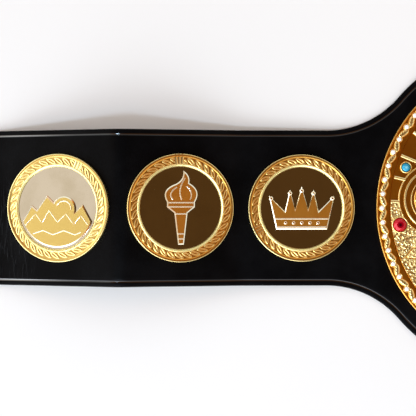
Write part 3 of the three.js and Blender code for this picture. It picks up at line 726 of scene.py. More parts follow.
def strap_shell():
    """The strap with its rolled edge; its creased line counts as hollow."""
    across = 28
    crease = sizes().crease_inset / MM
    section = edge_section(crease, sizes().crease_depth / MM)
    plan, upper = strap_plan(across)
    loop = len(plan)
    rows = [list(range(i * loop, (i + 1) * loop)) for i in range(len(section))]
    points = [(s - ns * inset, y - ny * inset, height) for inset, height in section for s, y, ns, ny in plan]
    faces = turned_over(quads(rows, loop))
    for level in (0, -1):
        row = rows[level]
        grid = []
        for i in range(upper):
            first, last = row[i], row[upper + across - 1 + (upper - 1 - i)]
            if i == 0:
                middle = [row[loop - 1 - j] for j in range(across - 1)]
            elif i == upper - 1:
                middle = [row[upper + j] for j in range(across - 1)]
            else:
                s, y, height = points[first]
                middle = list(range(len(points), len(points) + across - 1))
                points += [(s, y * t, height) for t in np.linspace(1.0, -1.0, across + 1)[1:-1]]
            grid.append([first, *middle, last])
        sheet = quads(grid, across + 1, closed=False)
        faces += sheet if level else turned_over(sheet)
    pressed = [float(-0.7 < inset - crease < 0.5) for inset, _ in section]
    hollow = np.zeros(len(points))
    hollow[:loop * len(section)] = np.repeat(pressed, loop)
    return bent(points), faces, hollow


class BELT_OT_strap(bpy.types.Operator):
    """Add the leather strap with its rolled edge, creased line and countersunk holes"""

    bl_idname = "belt.strap"
    bl_label = "Strap"

    def execute(self, context):
        flat_angle = 50.0
        piece = Shells().add(strap_shell()).build("strap_leather", leather_look(), flat_angle)
        holes = Shells()
        for _, _, s, y in fastener_seats():
            holes.add(polar_shell(HOLE, 40), seat(s, y))
        cutter = holes.build("holes", piece.data.materials[0], flat_angle)
        cut = piece.modifiers.new("holes", "BOOLEAN")
        cut.object = cutter
        cut.solver = "EXACT"
        cut.operation = "DIFFERENCE"
        piece.data = bpy.data.meshes.new_from_object(piece.evaluated_get(context.evaluated_depsgraph_get()))
        piece.modifiers.clear()
        bpy.data.objects.remove(cutter)
        piece.data.set_sharp_from_angle(angle=flat_angle * DEG)
        finish(piece, "black_leather", "strap")
        return {"FINISHED"}


# Side plates

def tilted(q, p, tilt):
    """Places along and across a leaf that is tilted to its circle, from those along and across the circle."""
    return q * np.cos(tilt) + p * np.sin(tilt), p * np.cos(tilt) - q * np.sin(tilt)


def laurel_relief(r, a, binding):
    """Edges of overlapping leaves, and the ribbon that binds them, from 0 between them to 1 on an edge."""
    pitch = 2.0 * math.pi / sizes().leaf_count
    leaves = np.zeros_like(a)
    for k in (-1, 0, 1):
        index = np.floor((a - binding) / pitch) + k
        q = (a - binding - (index + 0.5) * pitch) * LAUREL_CIRCLE
        u, v = tilted(q, r - LAUREL_CIRCLE, LEAF_TILT * DEG)
        along = np.clip(u / LEAF_HALF_LENGTH, -1.0, 1.0)
        half = LEAF_HALF_WIDTH * np.maximum(1.0 - along ** 2, 0.0) ** 0.7
        edge = np.exp(-(((np.abs(v) - half) / LEAF_EDGE) ** 2))
        leaves = np.maximum(leaves, edge * (np.abs(u) < LEAF_HALF_LENGTH + 0.3))
    away = np.angle(np.exp(1j * (a - binding))) * LAUREL_CIRCLE
    return np.where(np.abs(away) < RIBBON_HALF_WIDTH, np.cos(away * 1.15) ** 2, leaves)


def relief_shell(profile, sides, ground, relief, rise, plain_painted_shade, ground_painted_shade):
    """Turned shell with a relief on its ground rows; the two shade functions give the hollow values, which set
    the painted shade, of each row.
    """

    def lift(r, a, z):
        return rise * relief(r, a) if z == ground else np.zeros_like(a)

    hollow = []
    for radius, height in profile:
        if radius == 0.0:
            hollow.append([plain_painted_shade(radius, height)])
        elif height == ground:
            hollow.append(ground_painted_shade(relief(radius, turns(sides))))
        else:
            hollow.append(np.full(sides, plain_painted_shade(radius, height)))
    points, faces = polar_shell(profile, sides, lift)
    return points, faces, np.concatenate(hollow)


def side_frame_shell(binding):
    """Dish of a side plate: rolled rim, laurel band and a sloped wall down to the mirror."""
    band = [(45.1 - 0.3 * i, LAUREL_GROUND) for i in range(21)]
    profile = [
        (0.0, 0.0), (47.3, 0.0), (47.9, 0.35), (48.0, 0.9), (48.0, 3.6), (47.9, LAUREL_GROUND), (47.6, 4.4),
        (47.3, 4.5), (46.9, 4.5), (45.7, 4.45), (45.4, 4.3), *band, (38.85, 4.3), (38.6, 4.75),
        (38.35, 4.88), (38.1, 4.85), (37.95, 4.7), (36.95, 3.95), (36.95, SIDE_BACK), (0.0, SIDE_BACK),
    ]

    # Painted shade: the flat rim and the ground between the leaves get high hollow values
    def plain_painted_shade(radius, height):
        if radius == 0.0:
            return 0.6
        return 1.0 if 45.3 < radius < 47.1 else 0.0

    return relief_shell(
        profile, sizes().leaf_count * 18, LAUREL_GROUND, lambda r, a: laurel_relief(r, a, binding),
        sizes().leaf_rise / MM, plain_painted_shade, lambda relief: 1.0 - relief)


class BELT_OT_side_frames(bpy.types.Operator):
    """Add the six gilt dishes with their laurel rings"""

    bl_idname = "belt.side_frames"
    bl_label = "Side frames"

    def execute(self, context):
        look = gilt_look()
        for place, binding in BINDING_ANGLES.items():
            for side, sign in SIDES:
                shells = Shells(plate_seat(place, sign)).add(side_frame_shell(binding * DEG))
                piece = shells.build(f"laurel_{place}_{side}", look, 60.0)
                finish(piece, "gilt_casting", f"frame_{place}_{side}")
        return {"FINISHED"}


class BELT_OT_mirrors(bpy.types.Operator):
    """Add the six round mirrors"""

    bl_idname = "belt.mirrors"
    bl_label = "Mirrors"

    def execute(self, context):
        look = mirror_look()
        base = SIDE_BACK + GAP
        rim = MIRROR_RADIUS
        profile = [(0.0, base), (rim - 0.2, base), (rim, base + 0.15), (rim, MIRROR_TOP - 0.15),
                   (rim - 0.2, MIRROR_TOP), (30.0, MIRROR_TOP), (0.0, MIRROR_TOP)]
        for place in SEATS:
            for side, sign in SIDES:
                shells = Shells(plate_seat(place, sign)).add(polar_shell(profile, 128))
                piece = shells.build(f"mirror_disc_{place}_{side}", look, 20.0)
                finish(piece, "silvered_mirror", f"mirror_{place}_{side}")
        return {"FINISHED"}


# Motifs of the side plates

def bezier(p, q, r, count):
    """Points of a curve from p to r that bends toward q, without p itself."""
    p, q, r = np.array(p), np.array(q), np.array(r)
    steps = np.linspace(0.0, 1.0, count)[1:]
    return [tuple((1 - t) ** 2 * p + 2 * t * (1 - t) * q + t * t * r) for t in steps]


def arc(x, y, radius, start, end, count):
    angles = np.linspace(start * DEG, end * DEG, count)
    return [(x + radius * math.cos(a), y + radius * math.sin(a)) for a in angles]


def scaled(points, scale):
    return [(x * scale, y * scale) for x, y in points]


def smooth(path, steps):
    """The same line with more points, so that a sweep keeps its width at the corners."""
    dense = []
    for p, q in zip(path, path[1:]):
        p, q = np.array(p), np.array(q)
        dense += [tuple(p + (q - p) * t) for t in np.arange(steps) / steps]
    return dense + [path[-1]]


def boss(radius, bottom, top):
    """Low round dome on a straight foot."""
    rise = min(radius * 0.6, top - bottom)
    profile = [(0.0, bottom), (radius, bottom)]
    for i in range(6):
        a = math.pi / 2 * i / 6
        profile.append((radius * math.cos(a), top - rise + rise * math.sin(a)))
    return polar_shell(profile + [(0.0, top)], 20)


def crown_motif(shells, width, height, bottom, top, low):
    """Crown with a banded foot, a ball on each point and bosses along the band."""
    half = width / 2.0
    corners = (
        (-0.78, 0.0), (0.78, 0.0), (1.0, 0.78), (0.52, 0.42), (0.36, 0.92), (0.20, 0.46), (0.0, 1.0),
        (-0.20, 0.46), (-0.36, 0.92), (-0.52, 0.42), (-1.0, 0.78),
    )
    shells.add(plate([(half * x, low + height * y) for x, y in corners], bottom, top))
    rise = top + 0.35
    for y in (0.06, 0.25):
        reach = half * (0.72 + 0.28 * y / 0.78)
        line = [(-reach, low + height * y), (reach, low + height * y)]
        shells.add(sweep(line, round_section(0.55, top - 0.3, rise)))
    for x in (-0.5, -0.25, 0.0, 0.25, 0.5):
        at = Matrix.Translation((half * x, low + height * 0.155, 0.0))
        shells.add(boss(1.5, top - 0.2, rise + 0.1), at)
    for x, y in ((0.94, 0.72), (0.36, 0.84), (0.0, 0.9), (-0.36, 0.84), (-0.94, 0.72)):
        shells.add(boss(1.9, bottom, rise + 0.2), Matrix.Translation((half * x, low + height * y, 0.0)))


def torch_motif(shells, r, bottom, top):
    """Torch: tapered staff with bands, cup and a flame of three tongues."""
    outline = [(-0.07, -0.88), (0.07, -0.88), (0.16, -0.12), (0.34, 0.02), (0.34, 0.14)]
    outline += bezier((0.34, 0.14), (0.52, 0.42), (0.20, 0.60), 10)
    outline += bezier((0.20, 0.60), (0.24, 0.78), (0.06, 0.90), 8)
    outline += bezier((0.06, 0.90), (0.08, 0.68), (-0.12, 0.58), 8)
    outline += bezier((-0.12, 0.58), (-0.52, 0.44), (-0.34, 0.14), 10)
    outline += [(-0.34, 0.02), (-0.16, -0.12)]
    shells.add(plate(scaled(outline, r), bottom, top))
    line = round_section(0.5, top - 0.3, top + 0.3)
    for y, reach in ((-0.74, 0.075), (-0.62, 0.085), (-0.14, 0.15), (0.03, 0.31), (0.13, 0.31)):
        shells.add(sweep(scaled([(-reach, y), (reach, y)], r), line))
    tongues = (
        ((-0.20, 0.2), (-0.34, 0.36), (-0.10, 0.50)),
        ((0.02, 0.2), (-0.10, 0.44), (0.10, 0.72)),
        ((0.22, 0.2), (0.32, 0.36), (0.14, 0.52)),
    )
    for foot, bend, tip in tongues:
        shells.add(sweep(scaled([foot, *bezier(foot, bend, tip, 14)], r), line))


def sunrise_motif(shells, r, bottom, top):
    """Half sun over a row of peaks, with lines that follow the hills."""
    sun_x, sun_y = 0.18, -0.02
    outline = arc(0.0, 0.0, 0.95, 200.0, 340.0, 40)
    outline += [(0.66, 0.08)]
    outline += arc(sun_x, sun_y, 0.3, -20.0, 150.0, 24)
    outline += [(-0.26, 0.3), (-0.52, -0.05), (-0.66, 0.06)]
    shells.add(plate(scaled(outline, r), bottom, top))
    line = round_section(0.5, top - 0.3, top + 0.3)
    hills = (
        [(-0.82, -0.42), (-0.55, -0.14), (-0.38, -0.36), (-0.20, -0.06), (0.02, -0.34)],
        [(0.02, -0.34), (0.24, -0.14), (0.44, -0.40), (0.62, -0.18), (0.80, -0.40)],
        [(-0.62, -0.62), (-0.36, -0.54), (-0.10, -0.64), (0.18, -0.54), (0.46, -0.64), (0.62, -0.58)],
    )
    for path in hills:
        shells.add(sweep(smooth(scaled(path, r), 4), line))
    shells.add(sweep(scaled(arc(sun_x, sun_y, 0.19, -8.0, 158.0, 24), r), line))


class BELT_OT_motifs(bpy.types.Operator):
    """Add the raised satin motifs on the mirrors"""

    bl_idname = "belt.motifs"
    bl_label = "Motifs"

    def execute(self, context):
        look = overlay_look()
        bottom = MIRROR_TOP + GAP
        top = bottom + EMBLEM_THICKNESS
        r = MIRROR_RADIUS
        for place in SEATS:
            for side, sign in SIDES:
                shells = Shells(plate_seat(place, sign))
                if place == "inner":
                    crown_motif(shells, 1.6 * r, 1.05 * r, bottom, top, -0.525 * r)
                elif place == "middle":
                    torch_motif(shells, r, bottom, top)
                else:
                    sunrise_motif(shells, r, bottom, top)
                piece = shells.build(f"motif_{place}_{side}", look, 30.0)
                finish(piece, "gilt_overlay", f"emblem_{place}_{side}")
        return {"FINISHED"}


# Centre plate

def stone_seats():
    """Name, radius, height and place (x, y) of every coloured stone."""
    rows = []
    for side, sign in SIDES:
        for kind, radius, height, inset, above in STONE_KINDS:
            x = sign * (FIELD_RADIUS - inset) * math.cos(above * DEG)
            y = (FIELD_RADIUS - inset) * math.sin(above * DEG)
            rows.append((f"{kind}_{side}", radius, height, x, y))
    return rows


def roundel_distance(x, y):
    """Distance to the nearer roundel's middle."""
    return np.minimum(*[np.hypot(x - sign * ROUNDEL_OFFSET, y - ROUNDEL_RISE) for _, sign in SIDES])


def grain_distances(x, y, pitch):
    """Distances to the nearest two of the scattered grains, and the nearest one's height."""
    rng = np.random.default_rng(7)
    reach = 130.0
    cells = int(2 * reach / pitch)
    jitter = rng.uniform(0.12, 0.88, (cells + 2, cells + 2, 2))
    level = rng.uniform(0.55, 1.0, (cells + 2, cells + 2))
    x = x + reach
    y = y + reach
    column = np.floor(x / pitch).astype(int)
    row = np.floor(y / pitch).astype(int)
    near = np.full(x.shape, np.inf)
    second = np.full(x.shape, np.inf)
    height = np.zeros(x.shape)
    for i in (-1, 0, 1):
        for j in (-1, 0, 1):
            cell = np.clip(column + i, 0, cells), np.clip(row + j, 0, cells)
            grain_x = (cell[0] + jitter[cell][..., 0]) * pitch
            grain_y = (cell[1] + jitter[cell][..., 1]) * pitch
            d = np.hypot(x - grain_x, y - grain_y)
            closer = d < near
            second = np.where(closer, near, np.minimum(second, d))
            height = np.where(closer, level[cell], height)
            near = np.minimum(near, d)
    return near, second, height


def nugget_heights(x, y, r, a):
    """Heights and hollow values of the pebbled texture, with outlined lozenges and sunk seats."""
    ground = 4.0
    lozenge_circle = 108.9
    pitch = sizes().grain_pitch / MM
    near, second, height = grain_distances(x, y, pitch)
    crevice = np.clip((second - near) / (0.45 * pitch), 0.0, 1.0)
    grain = height * np.clip(1.0 - (near / (0.75 * pitch)) ** 2, 0.0, 1.0)
    z = ground + sizes().grain_rise / MM * grain
    # Painted shade: high hollow values in the crevices between grains and in the lozenges' grooves
    hollow = np.clip(0.9 - 2.2 * crevice, 0.0, 1.0)
    for k in range(9):
        middle = (-158.0 + k * 17.0) * DEG
        d = np.abs(r - lozenge_circle) / 10.0 + np.abs(a - middle) * lozenge_circle / 5.5
        groove = np.exp(-(((d - 1.0) / 0.13) ** 2))
        z = z + (ground - 0.5 - z) * groove + 0.6 * np.clip(1.0 - d, 0.0, 0.6)
        hollow = np.maximum(hollow, groove)
    for _, radius, _, stone_x, stone_y in stone_seats():
        z = np.where(np.hypot(x - stone_x, y - stone_y) < radius + 1.0, 3.0, z)
    return np.where(roundel_distance(x, y) < ROUNDEL_RIM - 0.4, 2.6, z), hollow


def nugget_shell():
    """Pebbled band round the lower half of the field."""
    step = 0.5
    end = RIB_ANGLES[0] * DEG
    start = -math.pi - end
    around = int((end - start) * 110.0 / step)
    radii = np.arange(NUGGET_INNER, NUGGET_OUTER + 0.01, step)
    r, a = np.meshgrid(radii, np.linspace(start, end, around), indexing="ij")
    x, y = r * np.cos(a), r * np.sin(a)
    z, hollow = nugget_heights(x, y, r, a)
    points = np.stack([x.ravel(), y.ravel(), z.ravel()], axis=1)
    upper_rows = [list(range(i * around, (i + 1) * around)) for i in range(len(radii))]
    under = points[upper_rows[0] + upper_rows[-1]]
    under[:, 2] = RELIEF_ROOT
    inner_row = [v + len(radii) * around for v in range(around)]
    outer_row = [v + around for v in inner_row]
    faces = turned_over(quads(upper_rows, around, closed=False))
    faces += quads([inner_row, outer_row], around, closed=False)
    faces += quads([outer_row, upper_rows[-1]], around, closed=False)
    faces += turned_over(quads([inner_row, upper_rows[0]], around, closed=False))
    faces.append((inner_row[0], *[row[0] for row in upper_rows], outer_row[0]))
    faces.append((outer_row[-1], *[row[-1] for row in reversed(upper_rows)], inner_row[-1]))
    return np.concatenate([points, under]), faces, np.concatenate([hollow.ravel(), np.ones(2 * around)])


def clear_arcs(radius, count):
    """Stretches of a circle that stay clear of the two roundels."""
    stretches = [[]]
    for i in range(count + 1):
        a = 2.0 * math.pi * i / count - math.pi / 2
        x, y = radius * math.cos(a), radius * math.sin(a)
        if roundel_distance(x, y) > ROUNDEL_RIM - 0.2:
            stretches[-1].append((x, y))
        elif stretches[-1]:
            stretches.append([])
    return [row for row in stretches if len(row) > 1]


def ring(radius, section, x=0.0, count=120):
    """Ring of a section about a place at the roundels' height."""
    path = [(x + radius * math.cos(a), ROUNDEL_RISE + radius * math.sin(a)) for a in turns(count)]
    return sweep(path, section, closed=True)


def globe_shell(radius, base, height):
    """Low dome crossed by raised lines."""
    steps = 22
    line_rise = 0.45

    def lift(r, a, z):
        if z < base:
            return np.zeros_like(a)
        meridian = np.exp(-((np.abs(np.sin(a * 4.0)) * r / 2.2) ** 2))
        parallel = math.exp(-((((r / radius * 3.0) % 1.0 - 0.5) / 0.12) ** 2))
        return line_rise * np.maximum(meridian, parallel)

    profile = [(0.0, RELIEF_ROOT), (radius, RELIEF_ROOT)]
    for i in range(steps):
        a = math.pi / 2 * i / steps
        profile.append((radius * math.cos(a), base + height * math.sin(a)))
    return polar_shell(profile + [(0.0, base + height)], 96, lift)


def star_shell(radius, waist, bottom, top):
    """Five-pointed star that rises to a point in its middle."""
    points = [(0.0, 0.0, bottom), (0.0, 0.0, top)]
    for i in range(10):
        r = waist if i % 2 else radius
        a = math.pi / 2 + i * math.pi / 5
        points.append((r * math.cos(a), r * math.sin(a), bottom))
    faces = []
    for i in range(10):
        j = (i + 1) % 10
        faces += [(2 + i, 2 + j, 1), (2 + j, 2 + i, 0)]
    return points, faces


def leaf_shell(length, width, bottom, top):
    """Pointed leaf along X with a ridge down its middle and a raised edge."""
    section = ((-1.0, 0.0), (1.0, 0.0), (1.0, 0.75), (0.5, 0.55), (0.0, 1.0), (-0.5, 0.55), (-1.0, 0.75))
    points = []
    rows = []
    for t in np.linspace(-1.0, 1.0, 13):
        half = width / 2 * (1.0 - t * t) ** 0.75 + 0.02
        rise = (top - bottom) * (0.35 + 0.65 * (1.0 - t * t))
        rows.append(list(range(len(points), len(points) + len(section))))
        points.extend((length / 2 * t, half * v, bottom + rise * z) for v, z in section)
    return points, [*quads(rows, len(section)), tuple(reversed(rows[0])), tuple(rows[-1])]


def add_ribs(shells):
    """The field's inner line and the ribs that part the upper panels."""
    for path in clear_arcs(LINE_RADIUS, 240):
        shells.add(sweep(path, flat_section(1.2, RELIEF_ROOT, 4.6, 0.5)))
    for above in RIB_ANGLES:
        for a in (above * DEG, math.pi - above * DEG):
            away = np.linspace(LINE_RADIUS - 1.2, NUGGET_OUTER, 80)
            away = away[roundel_distance(away * math.cos(a), away * math.sin(a)) > ROUNDEL_RIM - 0.4]
            path = [(d * math.cos(a), d * math.sin(a)) for d in np.linspace(away[0], away[-1], 6)]
            shells.add(sweep(path, flat_section(1.2, RELIEF_ROOT, RELIEF_TOP, 0.95)))


def add_roundels(shells):
    """Two ringed roundels, each with a globe."""
    for _, sign in SIDES:
        x = sign * ROUNDEL_OFFSET
        shells.add(ring(ROUNDEL_RIM, round_section(0.6, RELIEF_ROOT, 4.3), x))
        shells.add(ring(27.6, flat_section(0.7, RELIEF_ROOT, 4.9, 0.45), x))
        # Painted shade: the globe's hollow value of 0.7 lays the darker gilt over it
        shells.add(globe_shell(19.0, FIELD_TOP, 1.8), Matrix.Translation((x, ROUNDEL_RISE, 0.0)), hollow=0.7)
        shells.add(ring(21.6, round_section(0.4, RELIEF_ROOT, 3.9), x))


def add_medallion(shells):
    """Ring, star and wreath in the middle, and the crown over them."""
    middle = Matrix.Translation((0.0, ROUNDEL_RISE, 0.0))
    wreath_radius = 36.0
    leaf_step = 20
    shells.add(ring(45.4, round_section(1.6, RELIEF_ROOT, RELIEF_TOP), count=160))
    shells.add(star_shell(27.0, 11.6, RELIEF_ROOT, 6.4), middle)
    for i in range(1, 9):
        for sign in (-1, 1):
            turn = Matrix.Rotation((-90 + sign * i * leaf_step) * DEG, 4, "Z")
            tip = turn @ Matrix.Translation((wreath_radius, 0.0, 0.0))
            tip = tip @ Matrix.Rotation(math.pi / 2 + sign * leaf_step * DEG, 4, "Z")
            shells.add(leaf_shell(11.0, 5.4, RELIEF_ROOT, 5.0), middle @ tip)
    crown_motif(shells, 62.0, 38.0, RELIEF_ROOT, RELIEF_TOP, 66.0)


def add_collars(shells):
    """A rounded collar round every coloured stone."""
    for _, radius, _, x, y in stone_seats():
        inner = radius + GAP
        collar = [
            (inner + 1.1, RELIEF_ROOT), (inner + 1.1, 4.4), (inner + 0.95, 5.0), (inner + 0.55, 5.3),
            (inner + 0.15, 5.2), (inner, 4.9), (inner, RELIEF_ROOT),
        ]
        shells.add(polar_shell(collar, 48), Matrix.Translation((x, y, 0.0)))


class BELT_OT_centre_plate(bpy.types.Operator):
    """Add the big centre plate with its ribs, roundels and nugget band"""

    bl_idname = "belt.centre_plate"
    bl_label = "Centre plate"

    def execute(self, context):
        rim = CENTRE_RADIUS
        field = FIELD_RADIUS
        base = [
            (0.0, 0.0), (rim - 0.7, 0.0), (rim - 0.15, 0.3), (rim, 0.8), (rim, 2.0), (rim - 0.2, 2.45),
            (rim - 0.6, 2.6), (field, 2.6), (field, 2.95), (field - 0.2, FIELD_TOP), (field - 8.0, FIELD_TOP),
            (0.0, FIELD_TOP),
        ]
        shells = Shells(Matrix.Translation((0.0, 0.0, STRAP_THICKNESS + GAP)))
        # Painted shade: a hollow value of 2 lays the dark panel shade over the sunk field
        shells.add(polar_shell(base, 256), hollow=2.0)
        add_ribs(shells)
        shells.add(nugget_shell())
        add_roundels(shells)
        add_medallion(shells)
        add_collars(shells)
        finish(shells.build("centre_casting", gilt_look(), 45.0), "gilt_casting", "centre_plate")
        return {"FINISHED"}


# Stone band

def vine_relief(r, a):
    """Leaves and stone sockets of the rim's vine, 0 to 1."""
    index = np.floor(a / RIM_PITCH)
    q = (a - (index + 0.5) * RIM_PITCH) * VINE_CIRCLE
    u, v = tilted(q, r - VINE_CIRCLE, np.where(index % 2 == 0, 24.0 * DEG, -24.0 * DEG))
    along = np.clip(u / 5.0, -1.0, 1.0)
    half = 2.5 * np.maximum(1.0 - along ** 2, 0.0) ** 0.6
    across = np.clip(1.0 - np.abs(v) / (half + 0.35), 0.0, 1.0)
    vein = 0.84 + 0.16 * np.cos(2.6 * (u + np.abs(v)))
    leaves = np.clip(across * 1.5, 0.0, 1.0) * vein * (np.abs(u) < 5.4)
    nearest = (a / RIM_PITCH - np.round(a / RIM_PITCH)) * RIM_PITCH * VINE_CIRCLE
    from_stone = np.hypot(nearest, r - STONE_CIRCLE)
    socket = 0.7 * np.exp(-(((from_stone - 2.35) / 0.35) ** 2))
    return np.where(from_stone < 2.9, socket, leaves)


def band_shell():
    """Ring with a rounded outer lip and the vine on its sunk face."""
    ground = 1.1
    lip_edge = 1.95
    rim = CENTRE_RADIUS
    inner = FIELD_RADIUS + GAP
    face = [(133.7 - 0.4 * i, ground) for i in range(18)]
    profile = [
        (inner, 0.0), (rim - 0.1, 0.0), (rim, 0.2), (rim, 1.6), (rim - 0.1, lip_edge), (rim - 0.4, 2.15),
        (rim - 0.8, 2.2), (rim - 1.0, 2.15), (rim - 1.3, 1.7), (rim - 1.5, 1.2), *face, (inner, ground),
    ]
    return relief_shell(
        profile, RIM_STONES * 22, ground, vine_relief, 0.95,
        # Painted shade: the lip's walls get 1.5 and the ground between the vine's leaves up to 2, which lay the
        # dark panel shade on; the lip's edge gets 0.4
        lambda radius, height: 0.4 if height == lip_edge else 1.5,
        lambda relief: 2.0 * np.clip(1.0 - 2.2 * relief, 0.0, 1.0))


class BELT_OT_stone_band(bpy.types.Operator):
    """Add the vine ring of the centre plate and its small clear stones"""

    bl_idname = "belt.stone_band"
    bl_label = "Stone band"

    def execute(self, context):
        at = Matrix.Translation((0.0, 0.0, STRAP_THICKNESS + GAP + BAND_BASE))
        band = Shells(at).add(band_shell()).build("vine_band", gilt_look(), 60.0)
        finish(band, "gilt_casting", "stone_band")
        stones = Shells(at)
        rng = np.random.default_rng(11)
        for i in range(RIM_STONES):
            place = Matrix.Rotation(i * RIM_PITCH, 4, "Z") @ Matrix.Translation((STONE_CIRCLE, 0.0, 1.05))
            tip = Matrix.Rotation(rng.uniform(-4.0, 4.0) * DEG, 4, "X")
            tip = tip @ Matrix.Rotation(rng.uniform(0, 1), 4, "Z")
            stones.add(cut_stone(2.0, 1.55), place @ tip)
        # Painted reflection: a slightly greyer, bluer middle on the clear stones' tables
        clear = stone_look("clear_stone", colours().clear_stone, (0.90, 0.92, 0.95), 0.0)
        finish(stones.build("rim_stones", clear, 5.0), "", "stone_band")
        return {"FINISHED"}


class BELT_OT_stones(bpy.types.Operator):
    """Add the big coloured stones of the centre plate"""

    bl_idname = "belt.stones"
    bl_label = "Coloured stones"

    def execute(self, context):
        looks = {
            # Painted reflection in the tables' middles: light on the blue stones, near black on the red ones
            "blue": stone_look("blue_stone", colours().blue_stone, (0.30, 0.78, 0.92), 0.15),
            "red": stone_look("red_stone", colours().red_stone, (0.04, 0.0, 0.003), 0.15),
        }
        for name, radius, height, x, y in stone_seats():
            kind = name.split("_")[0]
            at = Matrix.Translation((x, y, STRAP_THICKNESS + GAP + STONE_SEAT)) @ Matrix.Rotation(0.2, 4, "Z")
            piece = Shells(at).add(cut_stone(radius, height)).build(f"cut_{name}", looks[kind], 5.0)
            finish(piece, f"{kind}_stone", f"stone_{name}")
        return {"FINISHED"}


# Fasteners

def post_shell():
    """Countersunk head with a softened edge, and a shank that ends in the plate."""
    top = STRAP_THICKNESS + GAP + 1.2
    return polar_shell([*HEAD, (2.0, top), (0.0, top)], 40)


def snap_shell(height, shoulder, bead):
    """Turned stud or cap on a thin flange; bead is how far a stud narrows under its head."""
    face = STRAP_THICKNESS + GAP
    top = face + height
    profile = [
        *HEAD, (2.0, face), (5.8, face), (6.0, face + 0.2), (6.0, face + 0.65), (5.8, face + 0.9),
        (shoulder, face + 0.9), (shoulder - bead, top - 1.2), (shoulder, top - 0.7),
        (shoulder - 0.15, top - 0.3), (shoulder - 0.6, top), (0.0, top),
    ]
    return polar_shell(profile, 48)


class BELT_OT_fasteners(bpy.types.Operator):
    """Add the posts under the plates and the press studs at the ends"""

    bl_idname = "belt.fasteners"
    bl_label = "Fasteners"

    def execute(self, context):
        look = steel_look()
        shells = {
            "post": post_shell(),
            "snap_stud": snap_shell(4.2, 3.4, 0.5),
            "snap_cap": snap_shell(2.2, 4.6, 0.0),
        }
        for node, kind, s, y in fastener_seats():
            piece = Shells(seat(s, y)).add(shells[kind]).build(f"{node}_turned", look, 30.0)
            finish(piece, "plated_steel", node)
        return {"FINISHED"}


# Stage

def world_light():
    """Dark ceiling in an amber halo, pale walls, a beige one on the left and a bright low window."""
    world = bpy.data.worlds.new("studio")
    world.use_nodes = True
    bpy.context.scene.world = world
    look = Look(world.node_tree)
    way = look.out(look.node("ShaderNodeTexCoord"), "Generated")
    overhead = (0.14, 0.0, 1.0)
    left = (-math.sin(50.0 * DEG), 0.0, math.cos(50.0 * DEG))
    low = 1.0 - look.cone(way, (0.0, 0.0, 1.0), 62.0, 48.0)
    window = low * look.toward(way, (-0.78, -0.62, 0.0)).step(0.25, 0.6)
    window_light = (3.9, 4.1, 4.4)
    shade = look.mix(look.cone(way, overhead, 52.0, 36.0), colours().walls, colours().halo)
    shade = look.mix(look.cone(way, overhead, 36.0, 22.0), shade, colours().ceiling)
    shade = look.mix(look.cone(way, left, 34.0, 17.0), shade, colours().left_wall)
    shade = look.mix(window, shade, window_light)
    background = look.node("ShaderNodeBackground", None, {"Color": shade, "Strength": 1.0})
    look.node("ShaderNodeOutputWorld", None, {"Surface": look.out(background)})


def key_light():
    """Small cool lamp over the near left, which throws the strap's shadow."""
    data = bpy.data.lights.new("key", "AREA")
    data.size = 0.22
    data.energy = 7.0
    data.color = (0.68, 0.92, 1.15)
    place = Vector((-0.6, -0.7, 1.5))
    target = Vector((-0.28, 0.0, 0.0))
    lamp = bpy.data.objects.new("key", data)
    lamp.location = place
    lamp.rotation_euler = (target - place).to_track_quat("-Z", "Y").to_euler()
    bpy.context.scene.collection.objects.link(lamp)


def floor_piece():
    """Pale square floor, faintly clouded."""
    half = sizes().floor_size / 2.0
    corners = [(-half, -half, 0.0), (half, -half, 0.0), (half, half, 0.0), (-half, half, 0.0)]
    mesh = bpy.data.meshes.new("floor")
    mesh.from_pydata(corners, [], [(0, 1, 2, 3)])
    made, look = new_look("pale_floor")
    clouded = (0.85, 0.865, 0.86)
    cloud = look.noise(look.place(), 3.0, 2.0, 0.5)
    look.surface({
        "Base Color": look.mix(cloud.step(0.3, 0.7), colours().floor, clouded),
        "Roughness": 0.9,
        "Specular IOR Level": 0.2,
    })
    mesh.materials.append(made)
    floor = bpy.data.objects.new("floor", mesh)
    bpy.context.scene.collection.objects.link(floor)


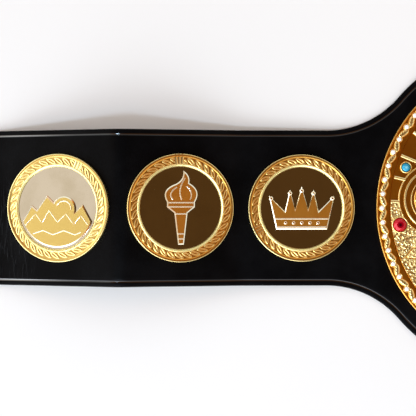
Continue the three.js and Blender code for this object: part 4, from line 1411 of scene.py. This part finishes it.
def aim_camera():
    """Camera straight over the left half of the belt, as in the photograph."""
    data = bpy.data.cameras.new("camera")
    data.sensor_width = 36.0
    data.lens = 95.6
    camera = bpy.data.objects.new("camera", data)
    camera.location = (-0.2874, 0.0, 1.0)
    bpy.context.scene.collection.objects.link(camera)
    bpy.context.scene.camera = camera


class BELT_OT_stage(bpy.types.Operator):
    """Add the floor, the lights and the camera"""

    bl_idname = "belt.stage"
    bl_label = "Stage"

    def execute(self, context):
        context.scene.view_settings.view_transform = "Standard"
        world_light()
        floor_piece()
        key_light()
        aim_camera()
        return {"FINISHED"}


# Panel and registration

OPERATORS = (
    BELT_OT_strap,
    BELT_OT_side_frames,
    BELT_OT_mirrors,
    BELT_OT_motifs,
    BELT_OT_centre_plate,
    BELT_OT_stone_band,
    BELT_OT_stones,
    BELT_OT_fasteners,
    BELT_OT_stage,
)


class BELT_PT_panel(bpy.types.Panel):
    """Sizes, colours and the steps that build the belt"""

    bl_idname = "BELT_PT_panel"
    bl_label = "Title belt"
    bl_space_type = "VIEW_3D"
    bl_region_type = "UI"
    bl_category = "Belt"

    def draw(self, context):
        for group in (context.scene.belt_sizes, context.scene.belt_colours):
            column = self.layout.column()
            for name in group.__annotations__:
                column.prop(group, name)
        for operator in OPERATORS:
            self.layout.operator(operator.bl_idname)


CLASSES = (BeltSizes, BeltColours, *OPERATORS, BELT_PT_panel)


def register():
    for each in CLASSES:
        bpy.utils.register_class(each)
    bpy.types.Scene.belt_sizes = bpy.props.PointerProperty(type=BeltSizes)
    bpy.types.Scene.belt_colours = bpy.props.PointerProperty(type=BeltColours)


def unregister():
    del bpy.types.Scene.belt_colours
    del bpy.types.Scene.belt_sizes
    for each in reversed(CLASSES):
        bpy.utils.unregister_class(each)


def main():
    register()
    bpy.ops.belt.strap()
    bpy.ops.belt.side_frames()
    bpy.ops.belt.mirrors()
    bpy.ops.belt.motifs()
    bpy.ops.belt.centre_plate()
    bpy.ops.belt.stone_band()
    bpy.ops.belt.stones()
    bpy.ops.belt.fasteners()
    bpy.ops.belt.stage()


if __name__ == "__main__":
    main()
